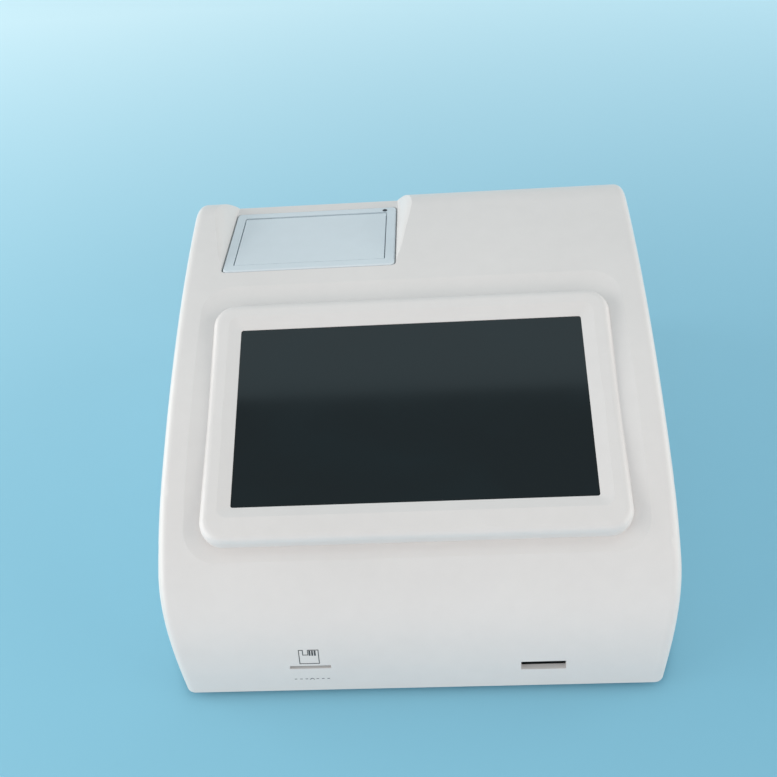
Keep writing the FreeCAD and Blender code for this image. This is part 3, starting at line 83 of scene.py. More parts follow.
@dataclass
class Desk:
    """Node tree that finishes are laid out on.

    Attributes:
        tree: The material's or group's node tree.
    """

    tree: bpy.types.NodeTree

    def add(self, kind: str, inputs: Optional[dict] = None, **settings) -> Node:
        """Adds a node.

        Args:
            kind: Name of the node type.
            inputs: Socket names or numbers with a constant or a socket to link from.
            settings: Properties of the node.

        Returns:
            The new node.
        """
        node = self.tree.nodes.new(kind)
        for name, value in settings.items():
            setattr(node, name, value)
        for name, value in (inputs or {}).items():
            self.feed(node.inputs[name], value)
        return node

    def feed(self, socket: Socket, value: object) -> None:
        """Links a socket or sets its constant.

        Args:
            socket: Input that is fed.
            value: Output socket, number or colour.
        """
        if isinstance(value, Socket):
            self.tree.links.new(value, socket)
        else:
            socket.default_value = value

    def math(self, operation: str, first: object, second: object = 0.0, clamp: bool = False) -> Socket:
        """Adds a maths node and returns its result."""
        return self.add("ShaderNodeMath", {0: first, 1: second}, operation=operation, use_clamp=clamp).outputs[0]

    def blend(self, share: object, first: object, second: object, mode: str = "MIX") -> Socket:
        """Adds a colour mix.

        Args:
            share: Weight of the second colour.
            first: First colour.
            second: Second colour.
            mode: Blend mode.

        Returns:
            The mixed colour.
        """
        node = self.add("ShaderNodeMix", data_type="RGBA", blend_type=mode)
        for number, value in ((0, share), (6, first), (7, second)):
            self.feed(node.inputs[number], value)
        return node.outputs[2]

    def ramp(self, value: object, low: float, high: float, start: float = 0.0, end: float = 1.0) -> Socket:
        """Maps a value from one range to another, clamped."""
        node = self.add("ShaderNodeMapRange", {"Value": value, "From Min": low, "From Max": high,
                                               "To Min": start, "To Max": end}, clamp=True)
        return node.outputs["Result"]

    def place(self, stretch: Point = (1.0, 1.0, 1.0), centre: Point = (0.0, 0.0, 0.0)) -> Socket:
        """Returns the object's coordinates about a centre, stretched along each axis."""
        where = self.add("ShaderNodeTexCoord").outputs["Object"]
        moved = self.add("ShaderNodeVectorMath", {0: where, 1: tuple(-c for c in centre)}, operation="ADD")
        return self.add("ShaderNodeVectorMath", {0: moved.outputs[0], 1: stretch}, operation="MULTIPLY").outputs[0]

    def noise(self, scale: object, detail: float, where: Optional[Socket] = None,
              **more: float) -> Socket:
        """Adds a noise texture.

        Args:
            scale: Its scale.
            detail: Its detail.
            where: Coordinates, the object's own if left out.
            more: Its other inputs by name.

        Returns:
            The noise.
        """
        where = self.place() if where is None else where
        return self.add("ShaderNodeTexNoise", {"Vector": where, "Scale": scale, "Detail": detail, **more}).outputs[0]

    def coat(self, shader: Node, colour: Socket, roughness: Socket, height: Socket, strength: float,
             distance: float) -> None:
        """Feeds a shader.

        Args:
            shader: The material's shader.
            colour: Its base colour.
            roughness: Its roughness.
            height: Height that raises its surface.
            strength: Strength of the height.
            distance: Distance that the full height stands for.
        """
        bump = self.add("ShaderNodeBump", {"Height": height, "Strength": strength, "Distance": distance})
        for name, value in (("Base Color", colour), ("Roughness", roughness), ("Normal", bump.outputs[0])):
            self.feed(shader.inputs[name], value)


@dataclass(frozen=True)
class Effect:
    """Surface effect that several finishes share, as a node group.

    Attributes:
        name: Name of the group.
        inputs: Named inputs with their starting values.
        outputs: Names of the outputs.
        draw: Function that lays out the nodes and returns the output sockets.
    """

    name: str
    inputs: dict[str, float]
    outputs: tuple[str, ...]
    draw: Callable[[Desk, Node], Sequence[Socket]]

    def group(self) -> bpy.types.NodeTree:
        """Returns the node group, built at its first use."""
        tree = bpy.data.node_groups.get(self.name)
        if tree:
            return tree
        tree = bpy.data.node_groups.new(self.name, "ShaderNodeTree")
        for name, value in self.inputs.items():
            socket = tree.interface.new_socket(name, in_out="INPUT", socket_type="NodeSocketFloat")
            socket.default_value = value
        for name in self.outputs:
            tree.interface.new_socket(name, in_out="OUTPUT", socket_type="NodeSocketFloat")
        desk = Desk(tree)
        source = desk.add("NodeGroupInput")
        target = desk.add("NodeGroupOutput")
        for number, socket in enumerate(self.draw(desk, source)):
            desk.feed(target.inputs[number], socket)
        return tree

    def use(self, desk: Desk, **values: object) -> Node:
        """Places the effect in a material.

        Args:
            desk: The material's desk.
            values: Inputs by name, with underscores for blanks.

        Returns:
            The group node.
        """
        node = desk.add("ShaderNodeGroup", node_tree=self.group())
        for name, value in values.items():
            desk.feed(node.inputs[name.replace("_", " ")], value)
        return node


def draw_edge(desk: Desk, source: Node) -> Sequence[Socket]:
    """Lays out the mask of worn edges: where the rounded normal leaves the true one."""
    bevel = desk.add("ShaderNodeBevel", {"Radius": source.outputs["Radius"]}, samples=6)
    normal = desk.add("ShaderNodeNewGeometry").outputs["Normal"]
    dot = desk.add("ShaderNodeVectorMath", {0: bevel.outputs[0], 1: normal}, operation="DOT_PRODUCT").outputs["Value"]
    turn = desk.math("SUBTRACT", 1.0, dot, clamp=True)
    breakup = desk.noise(140.0, 3.0)
    gain = desk.math("MULTIPLY", turn, source.outputs["Strength"])
    return [desk.math("MULTIPLY", gain, desk.ramp(breakup, 0.3, 0.7, 0.35, 1.0), clamp=True)]


def draw_grain(desk: Desk, source: Node) -> Sequence[Socket]:
    """Lays out the spark-eroded grain of a mould: fine pits over a soft waviness."""
    where = desk.place()
    pits = desk.noise(source.outputs["Scale"], 4.0, where, Roughness=0.62)
    cells = desk.add("ShaderNodeTexVoronoi", {"Vector": where, "Scale": source.outputs["Scale"]},
                     feature="SMOOTH_F1").outputs["Distance"]
    wave = desk.noise(26.0, 1.0, where)
    height = desk.math("ADD", desk.math("MULTIPLY", pits, 0.7), desk.math("MULTIPLY", cells, 0.3))
    return [desk.math("ADD", height, desk.math("MULTIPLY", wave, source.outputs["Wave"])), pits]


def draw_drift(desk: Desk, source: Node) -> Sequence[Socket]:
    """Lays out broad and fine patches of tone, centred on one half."""
    where = desk.place()
    broad = desk.noise(source.outputs["Broad"], 2.0, where)
    fine = desk.noise(source.outputs["Fine"], 5.0, where)
    return [desk.math("ADD", desk.math("MULTIPLY", broad, 0.65), desk.math("MULTIPLY", fine, 0.35))]


def draw_crease_shade(desk: Desk, source: Node) -> Sequence[Socket]:
    """Lays out the mask of painted shade in creases: ambient occlusion, broken up by noise."""
    crease = desk.add("ShaderNodeAmbientOcclusion", {"Distance": source.outputs["Reach"]}, samples=6).outputs["AO"]
    patch = desk.noise(90.0, 4.0)
    hollow = desk.ramp(crease, 0.25, 0.85, 1.0, 0.0)
    return [desk.math("MULTIPLY", hollow, desk.math("MULTIPLY", patch, source.outputs["Amount"]), clamp=True)]


EDGE = Effect("edge_polish", {"Radius": 0.0006, "Strength": 1.0}, ("Mask",), draw_edge)
GRAIN = Effect("mould_grain", {"Scale": 2600.0, "Wave": 0.0}, ("Height", "Pits"), draw_grain)
DRIFT = Effect("tone_drift", {"Broad": 9.0, "Fine": 120.0}, ("Tone",), draw_drift)
CREASE_SHADE = Effect("painted_crease_shade", {"Reach": 0.002, "Amount": 0.3}, ("Mask",), draw_crease_shade)


# ---------------------------------------------------------------- finishes


@dataclass(frozen=True)
class Finish:
    """One finish of the reader.

    Attributes:
        name: Name of the material.
        colour: Linear base colour.
    """

    name: str
    colour: Colour

    def material(self) -> bpy.types.Material:
        """Returns the material, built at its first use."""
        made = bpy.data.materials.get(self.name)
        if made:
            return made
        made = bpy.data.materials.new(self.name)
        made.use_nodes = True
        made.diffuse_color = rgba(self.colour)
        desk = Desk(made.node_tree)
        self.dress(desk, made.node_tree.nodes["Principled BSDF"])
        return made

    def dress(self, desk: Desk, shader: Node) -> None:
        """Lays out the finish; each kind of finish has its own."""
        raise NotImplementedError

    def shade(self, scale: float) -> tuple[float, float, float, float]:
        """Returns the base colour made lighter or darker."""
        return rgba(tuple(min(c * scale, 1.0) for c in self.colour))


@dataclass(frozen=True)
class Moulded(Finish):
    """Injection-moulded plastic with a fine mould grain, faint flow patches, polished edges and painted shade in its
    creases.

    Attributes:
        sheen: How glossy it is.
        grain: Grains per metre.
        relief: Height of the grain in metres.
        drift: Share by which the tone drifts.
        wear: Strength of the edge polish.
        crease_shade: Strength of the painted shade that darkens creases.
    """

    sheen: Sheen = Sheen.MATT
    grain: float = 2600.0
    relief: float = 0.000012
    drift: float = 0.03
    wear: float = 1.2
    crease_shade: float = 0.12

    def dress(self, desk: Desk, shader: Node) -> None:
        """Lays out colour, gloss and grain."""
        tone = DRIFT.use(desk).outputs["Tone"]
        grain = GRAIN.use(desk, Scale=self.grain, Wave=0.5)
        edge = EDGE.use(desk, Radius=0.0007, Strength=self.wear).outputs["Mask"]
        crease_shade = CREASE_SHADE.use(desk, Reach=0.0025, Amount=self.crease_shade).outputs["Mask"]
        patch = desk.ramp(tone, 0.3, 0.7)
        body = desk.blend(patch, self.shade(1.0 - self.drift), self.shade(1.0 + self.drift))
        fleck = desk.blend(desk.ramp(grain.outputs["Pits"], 0.42, 0.62, 0.0, 0.05), body, self.shade(0.75))
        worn = desk.blend(desk.math("MULTIPLY", edge, 0.35), fleck, self.shade(1.12))
        rough = desk.ramp(tone, 0.3, 0.7, self.sheen.value - 0.04, self.sheen.value + 0.05)
        # Painted shade: creases found by ambient occlusion are darkened towards 55% of the colour.
        desk.coat(shader, desk.blend(crease_shade, worn, self.shade(0.55)),
                  desk.math("SUBTRACT", rough, desk.math("MULTIPLY", edge, 0.12), True),
                  grain.outputs["Height"], 0.6, self.relief)
        shader.inputs["IOR"].default_value = 1.49


@dataclass(frozen=True)
class Metal(Finish):
    """Metal with fine tool or roll lines, smudges and brighter edges.

    Attributes:
        roughness: Mean roughness.
        lines: Axis that the tool lines run along.
        pitch: Lines per metre.
        tarnish: Share by which patches darken.
    """

    roughness: float = 0.32
    lines: Axis = Axis.X
    pitch: float = 900.0
    tarnish: float = 0.12

    def dress(self, desk: Desk, shader: Node) -> None:
        """Lays out metal colour, lines and smudges."""
        stretch = [self.pitch] * 3
        stretch[self.lines.value] = self.pitch * 0.02
        line = desk.noise(1.0, 3.0, desk.place(tuple(stretch)))
        tone = DRIFT.use(desk, Broad=22.0, Fine=260.0).outputs["Tone"]
        edge = EDGE.use(desk, Radius=0.0003, Strength=1.4).outputs["Mask"]
        smudge = desk.ramp(tone, 0.42, 0.62)
        base = desk.blend(smudge, rgba(self.colour), self.shade(1.0 - self.tarnish))
        lined = desk.blend(desk.ramp(line, 0.35, 0.65, 0.0, 0.22), base, self.shade(0.78))
        shader.inputs["Metallic"].default_value = 1.0
        rough = desk.math("ADD", desk.ramp(line, 0.3, 0.7, self.roughness - 0.06, self.roughness + 0.08),
                          desk.math("MULTIPLY", smudge, 0.07), True)
        desk.coat(shader, desk.blend(desk.math("MULTIPLY", edge, 0.5), lined, self.shade(1.15)), rough,
                  line, 0.25, 0.00001)


@dataclass(frozen=True)
class Painted(Finish):
    """Sheet metal under an orange-peel powder coat that is rubbed at its edges."""

    def dress(self, desk: Desk, shader: Node) -> None:
        """Lays out the coat, its peel and its rubbed edges."""
        peel = desk.noise(900.0, 2.0)
        tone = DRIFT.use(desk, Broad=14.0, Fine=150.0).outputs["Tone"]
        edge = EDGE.use(desk, Radius=0.0004, Strength=2.0).outputs["Mask"]
        rubbed = desk.ramp(edge, 0.25, 0.75)
        coat = desk.blend(desk.ramp(tone, 0.35, 0.65), self.shade(0.96), self.shade(1.04))
        desk.feed(shader.inputs["Metallic"], rubbed)
        desk.coat(shader, desk.blend(rubbed, coat, rgba((0.55, 0.55, 0.54))), desk.ramp(tone, 0.3, 0.7, 0.36, 0.48),
                  peel, 0.35, 0.00004)


@dataclass(frozen=True)
class Rubber(Finish):
    """Soft black rubber with bloom and a sandy skin."""

    def dress(self, desk: Desk, shader: Node) -> None:
        """Lays out the rubber's bloom and skin."""
        tone = DRIFT.use(desk, Broad=60.0, Fine=420.0).outputs["Tone"]
        grain = GRAIN.use(desk, Scale=3600.0, Wave=0.2)
        edge = EDGE.use(desk, Radius=0.0005, Strength=1.5).outputs["Mask"]
        bloom = desk.blend(desk.ramp(tone, 0.35, 0.7), rgba(self.colour), self.shade(1.9))
        desk.coat(shader, desk.blend(desk.math("MULTIPLY", edge, 0.6), bloom, self.shade(3.2)),
                  desk.ramp(tone, 0.3, 0.7, 0.68, 0.86), grain.outputs["Height"], 0.7, 0.00002)


@dataclass(frozen=True)
class TouchGlass(Finish):
    """Dark cover glass of a touch display, with a faint film of fingerprints."""

    def dress(self, desk: Desk, shader: Node) -> None:
        """Lays out the dark glass and its finger film."""
        film = desk.noise(1.0, 5.0, desk.place((14.0, 22.0, 22.0)), Distortion=0.6)
        touched = desk.ramp(film, 0.45, 0.72)
        shader.inputs["IOR"].default_value = 1.37
        desk.coat(shader, desk.blend(touched, rgba(self.colour), self.shade(1.25)),
                  desk.ramp(film, 0.35, 0.75, 0.06, 0.10), film, 0.05, 0.0001)


@dataclass(frozen=True)
class ClearLens(Finish):
    """Clear moulded or ground lens with a tint and faint striae."""

    roughness: float = 0.06

    def dress(self, desk: Desk, shader: Node) -> None:
        """Lays out the clear body."""
        streak = desk.noise(500.0, 2.0)
        desk.feed(shader.inputs["Base Color"], desk.blend(desk.ramp(streak, 0.3, 0.7, 0.0, 0.4), rgba(self.colour),
                                                          self.shade(0.7)))
        desk.feed(shader.inputs["Roughness"], desk.ramp(streak, 0.3, 0.7, self.roughness, self.roughness + 0.06))
        shader.inputs["Transmission Weight"].default_value = 0.85
        shader.inputs["IOR"].default_value = 1.52


@dataclass(frozen=True)
class Board(Finish):
    """Circuit board: solder mask over raised copper tracks, with the woven glass showing at the edges."""

    def dress(self, desk: Desk, shader: Node) -> None:
        """Lays out the mask, the tracks and the plated dots."""
        where = desk.place()
        brick = desk.add("ShaderNodeTexBrick", {"Vector": where, "Scale": 160.0, "Color1": (1, 1, 1, 1),
                                                "Color2": (0.55, 0.55, 0.55, 1), "Mortar": (0, 0, 0, 1),
                                                "Mortar Size": 0.09, "Brick Width": 1.7, "Row Height": 0.34})
        cells = desk.add("ShaderNodeTexVoronoi", {"Vector": where, "Scale": 150.0}).outputs["Distance"]
        dots = desk.ramp(cells, 0.11, 0.13, 1.0, 0.0)
        track = desk.ramp(brick.outputs["Color"], 0.3, 0.6)
        tone = DRIFT.use(desk, Broad=30.0, Fine=300.0).outputs["Tone"]
        mask = desk.blend(track, self.shade(0.62), self.shade(1.12))
        varied = desk.blend(desk.ramp(tone, 0.3, 0.7, 0.0, 0.3), mask, self.shade(0.8))
        desk.feed(shader.inputs["Metallic"], dots)
        desk.coat(shader, desk.blend(dots, varied, rgba((0.62, 0.58, 0.45))), desk.ramp(tone, 0.3, 0.7, 0.25, 0.4),
                  track, 0.5, 0.00004)


@dataclass(frozen=True)
class WoundPaper(Finish):
    """Thermal paper wound on a core: fine rings on the ends and fibres on the sheet.

    Attributes:
        centre: Point on the roll's axis.
    """

    centre: Point = (0.0, 0.0, 0.0)

    def dress(self, desk: Desk, shader: Node) -> None:
        """Lays out the rings about the roll's axis and the fibres."""
        rings = desk.add("ShaderNodeTexWave", {"Vector": desk.place((0.0, 1.0, 1.0), self.centre), "Scale": 260.0,
                                               "Distortion": 1.2, "Detail": 2.0, "Detail Scale": 3.0},
                         wave_type="RINGS", rings_direction="X").outputs["Fac"]
        fibre = desk.noise(1.0, 4.0, desk.place((900.0, 2400.0, 2400.0)))
        ringed = desk.blend(desk.ramp(rings, 0.2, 0.8, 0.0, 0.3), rgba(self.colour), self.shade(0.72))
        height = desk.math("ADD", desk.math("MULTIPLY", rings, 0.6), desk.math("MULTIPLY", fibre, 0.4))
        desk.coat(shader, desk.blend(desk.ramp(fibre, 0.35, 0.7, 0.0, 0.18), ringed, self.shade(0.86)),
                  desk.ramp(fibre, 0.3, 0.7, 0.5, 0.7), height, 0.5, 0.00008)


@dataclass(frozen=True)
class Ink(Finish):
    """Screen-printed mark: thin, even ink with pinholes and a slightly raised film."""

    def dress(self, desk: Desk, shader: Node) -> None:
        """Lays out the ink film."""
        speck = desk.noise(5200.0, 2.0)
        desk.coat(shader, desk.blend(desk.ramp(speck, 0.55, 0.75, 0.0, 0.35), rgba(self.colour), self.shade(1.8)),
                  desk.ramp(speck, 0.3, 0.7, 0.42, 0.58), speck, 0.3, 0.00001)


HOUSING = Moulded("housing_finish", linear(225, 222, 220))
BASE = Moulded("base_finish", linear(212, 213, 209), relief=0.00002)
PRINTER = Moulded("printer_finish", linear(215, 226, 232), relief=0.00001)
BLACK = Moulded("black_plastic_finish", linear(30, 30, 32), drift=0.12, wear=2.2, crease_shade=0.25)
GREY = Moulded("grey_plastic_finish", linear(104, 106, 108), drift=0.06)
LCD = Moulded("display_case_finish", linear(34, 36, 38), drift=0.1)
GEAR = Moulded("gear_finish", linear(236, 235, 224))
CORE = Moulded("core_finish", linear(170, 174, 178))
ROCKER = Moulded("rocker_finish", linear(22, 22, 23), sheen=Sheen.GLOSS, relief=0.000004, wear=2.5)
RIBBON = Moulded("ribbon_finish", linear(196, 128, 52), sheen=Sheen.GLOSS, relief=0.000004, drift=0.08)
CERAMIC = Moulded("head_finish", linear(222, 216, 205), sheen=Sheen.GLOSS, relief=0.000003, drift=0.02)
SHEET = Metal("sheet_steel_finish", (0.62, 0.63, 0.64), roughness=0.34)
SCREW = Metal("screw_finish", (0.66, 0.66, 0.67), roughness=0.28, pitch=2400.0)
SHAFT = Metal("shaft_finish", (0.70, 0.71, 0.72), roughness=0.18, pitch=2600.0)
SHELL = Metal("shell_finish", (0.68, 0.69, 0.70), roughness=0.26, pitch=1600.0)
OPTICS = Metal("optics_finish", (0.045, 0.045, 0.05), roughness=0.44)
BRASS = Metal("brass_finish", (0.72, 0.52, 0.22), roughness=0.26, pitch=2200.0)
GOLD = Metal("contact_finish", (0.86, 0.62, 0.24), roughness=0.2, pitch=5000.0, tarnish=0.06)
PANEL = Painted("panel_finish", linear(176, 180, 181))
RUBBER = Rubber("rubber_finish", (0.018, 0.018, 0.019))
SCREEN = TouchGlass("screen_finish", (0.0008, 0.0070, 0.0095))
LENS = ClearLens("lens_finish", (0.86, 0.93, 0.96))
LAMP = ClearLens("lamp_finish", (0.30, 0.42, 0.62), roughness=0.1)
DARK_LAMP = Moulded("dark_lamp_finish", linear(44, 50, 58), sheen=Sheen.GLOSS, relief=0.000003, crease_shade=0.0)
BOARD = Board("board_finish", linear(28, 92, 52))
PAPER = WoundPaper("paper_finish", linear(240, 240, 236), centre=(-0.0534, 0.090364, 0.080767))
INK = Ink("ink_finish", linear(58, 62, 66))
WHITE_INK = Ink("white_ink_finish", linear(214, 214, 212))


def dress_nodes(finishes: dict[str, Finish]) -> None:
    """Gives CAD nodes their finishes.

    Args:
        finishes: Finish of each node by the node's name.
    """
    for name, finish in finishes.items():
        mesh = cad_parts[name].data
        mesh.materials.clear()
        mesh.materials.append(finish.material())
        log.info("node %s wears %s", name, finish.name)


# ---------------------------------------------------------------- modelling by hand


class Bench:
    """Work place where new pieces are modelled with Blender's own operators."""

    @staticmethod
    def clear() -> None:
        """Deselects everything and leaves edit mode."""
        if bpy.context.mode != "OBJECT":
            bpy.ops.object.mode_set(mode="OBJECT")
        bpy.ops.object.select_all(action="DESELECT")

    @staticmethod
    def choose(piece: Piece) -> None:
        """Selects one piece alone and makes it the active one."""
        Bench.clear()
        piece.select_set(True)
        bpy.context.view_layer.objects.active = piece

    @staticmethod
    def change(piece: Piece, kind: str, **settings: object) -> None:
        """Applies a modifier to a piece.

        Args:
            piece: The piece.
            kind: Type of the modifier.
            settings: Properties of the modifier.
        """
        Bench.choose(piece)
        modifier = piece.modifiers.new(kind.lower(), kind)
        for name, value in settings.items():
            setattr(modifier, name, value)
        bpy.ops.object.modifier_apply(modifier=modifier.name)

    @staticmethod
    def started(name: str, size: Point = (1.0, 1.0, 1.0)) -> Piece:
        """Names the primitive just added and puts its place and size into its mesh."""
        piece = bpy.context.object
        piece.name = piece.data.name = name
        piece.scale = size
        bpy.ops.object.transform_apply(location=True, rotation=True, scale=True)
        return piece

    @staticmethod
    def cube(name: str, centre: Point, size: Point) -> Piece:
        """Starts a piece as a box.

        Args:
            name: Name of the piece.
            centre: Middle of the box.
            size: Length along each axis.

        Returns:
            The new object, with its size in its mesh.
        """
        Bench.clear()
        bpy.ops.mesh.primitive_cube_add(size=1.0, location=centre)
        return Bench.started(name, size)

    @staticmethod
    def rod(name: str, centre: Point, radius: float, depth: float, axis: Axis, sides: int = 32) -> Piece:
        """Starts a piece as an upright or lying cylinder.

        Args:
            name: Name of the piece.
            centre: Middle of the cylinder.
            radius: Its radius.
            depth: Its length.
            axis: Axis that it runs along.
            sides: Number of sides.

        Returns:
            The new object, with its place in its mesh.
        """
        Bench.clear()
        turn = {Axis.X: (0, math.pi / 2, 0), Axis.Y: (math.pi / 2, 0, 0), Axis.Z: (0, 0, 0)}[axis]
        bpy.ops.mesh.primitive_cylinder_add(vertices=sides, radius=radius, depth=depth, location=centre,
                                            rotation=turn)
        return Bench.started(name)

    @staticmethod
    def bar(name: str, centre: Point, width: float, height: float) -> Piece:
        """Starts a printed bar as a flat upright sheet.

        Args:
            name: Name of the bar.
            centre: Its middle.
            width: Its width.
            height: Its height.

        Returns:
            A subdivided plane that faces along Y.
        """
        Bench.clear()
        bpy.ops.mesh.primitive_plane_add(size=1.0, location=centre, rotation=(math.pi / 2, 0, 0))
        bar = Bench.started(name, (width, height, 1.0))
        Bench.pick(bar, lambda face: True)
        bpy.ops.mesh.subdivide(number_cuts=3)
        Bench.clear()
        return bar

    @staticmethod
    def pick(piece: Piece, test: Callable[[bpy.types.MeshPolygon], bool]) -> None:
        """Selects the faces of a piece that pass a test and enters edit mode.

        Args:
            piece: The piece.
            test: True for a face that is wanted.
        """
        Bench.choose(piece)
        bpy.ops.object.mode_set(mode="EDIT")
        bpy.ops.mesh.select_mode(type="FACE")
        bpy.ops.mesh.select_all(action="DESELECT")
        bpy.ops.object.mode_set(mode="OBJECT")
        for face in piece.data.polygons:
            face.select = test(face)
        bpy.ops.object.mode_set(mode="EDIT")

    @staticmethod
    def round_edges(piece: Piece, width: float, steps: int = 2, angle: float = 35.0) -> None:
        """Rounds the sharp edges of a piece with an applied bevel.

        Args:
            piece: The piece.
            width: Width of the rounding.
            steps: Segments across it.
            angle: Edges sharper than this are rounded.
        """
        Bench.change(piece, "BEVEL", width=width, segments=steps, limit_method="ANGLE",
                     angle_limit=math.radians(angle))

    @staticmethod
    def cut(piece: Piece, tool: Piece) -> None:
        """Cuts one piece with another and removes the tool.

        Args:
            piece: The piece that is cut.
            tool: The piece that cuts it.
        """
        Bench.change(piece, "BOOLEAN", operation="DIFFERENCE", object=tool, solver="EXACT")
        bpy.data.objects.remove(tool)

    @staticmethod
    def join(name: str, parts: Sequence[Piece]) -> Piece:
        """Joins parts into one piece.

        Args:
            name: Name of the joined piece.
            parts: The parts.

        Returns:
            The joined object.
        """
        Bench.clear()
        for part in parts:
            part.select_set(True)
        bpy.context.view_layer.objects.active = parts[0]
        if len(parts) > 1:
            bpy.ops.object.join()
        piece = bpy.context.object
        piece.name = piece.data.name = name
        return piece

    @staticmethod
    def copy(piece: Piece, name: str, move: Matrix) -> Piece:
        """Copies a piece with its own mesh and moves the copy.

        Args:
            piece: The model piece.
            name: Name of the copy.
            move: Where the copy goes, as a matrix on the piece's mesh.

        Returns:
            The copy.
        """
        twin = piece.copy()
        twin.data = piece.data.copy()
        twin.name = twin.data.name = name
        twin.data.transform(move)
        bpy.context.scene.collection.objects.link(twin)
        return twin

    @staticmethod
    def lay_on(piece: Piece, node: str, axis: Axis, lift: float, forward: bool = True) -> None:
        """Lays a thin flat piece on a CAD node's surface.

        Args:
            piece: The flat piece, in front of the surface.
            node: Name of the CAD node.
            axis: Axis along which it is laid on.
            lift: Distance that it keeps from the surface.
            forward: True to go along the axis, False to go against it.
        """
        Bench.change(piece, "SHRINKWRAP", target=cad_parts[node], wrap_method="PROJECT",
                     use_project_x=axis is Axis.X, use_project_y=axis is Axis.Y, use_project_z=axis is Axis.Z,
                     use_positive_direction=forward, use_negative_direction=not forward, offset=lift)

    @staticmethod
    def thicken(piece: Piece, thickness: float) -> None:
        """Gives a laid sheet its thickness with an applied Solidify."""
        Bench.change(piece, "SOLIDIFY", thickness=thickness, offset=0.0)

    @staticmethod
    def fit(piece: Piece, finish: Finish, body: str, slot: str) -> Piece:
        """Finishes a piece: merged, facing outwards, smoothly shaded, dressed and riding on its body.

        Args:
            piece: The piece.
            finish: Its finish.
            body: Name of the body that it rides on.
            slot: Material slot of the record that it belongs to; not used.

        Returns:
            The piece.
        """
        Bench.pick(piece, lambda face: True)
        bpy.ops.mesh.remove_doubles(threshold=0.000002)
        bpy.ops.mesh.normals_make_consistent(inside=False)
        Bench.choose(piece)
        bpy.ops.object.shade_smooth_by_angle(angle=math.radians(32))
        piece.data.materials.clear()
        piece.data.materials.append(finish.material())
        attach(piece, body)
        log.info("piece %s: %d faces, wears %s, rides on %s", piece.name, len(piece.data.polygons), finish.name, body)
        return piece


@dataclass(frozen=True)
class CrossScrew:
    """Pan-head screw with a cross recess.

    Attributes:
        head_radius: Radius of the head.
        head_height: Height of the head.
        radius: Radius of the shank.
        length: Length of the shank under the head.
        recess: Length and width of the recess's arms, and its depth.
    """

    head_radius: float
    head_height: float
    radius: float
    length: float
    recess: Point = (0.0031, 0.0007, 0.0009)

    def build(self, name: str, face: Point) -> Piece:
        """Models the screw.

        Args:
            name: Name of the piece.
            face: Middle of the head's outer face, from which the screw points up.

        Returns:
            The screw.
        """
        x, y, z = face
        head = Bench.rod(name, (x, y, z + self.head_height / 2), self.head_radius, self.head_height, Axis.Z, 40)
        Bench.round_edges(head, self.head_height * 0.4, 4)
        arm, width, depth = self.recess
        for size in ((arm, width, depth * 2), (width, arm, depth * 2)):
            Bench.cut(head, Bench.cube("recess", face, size))
        middle = z + self.head_height + self.length / 2
        shank = Bench.rod("shank", (x, y, middle), self.radius, self.length, Axis.Z, 24)
        Bench.round_edges(shank, self.radius * 0.3, 1)
        return Bench.join(name, [head, shank])


# ---------------------------------------------------------------- housing


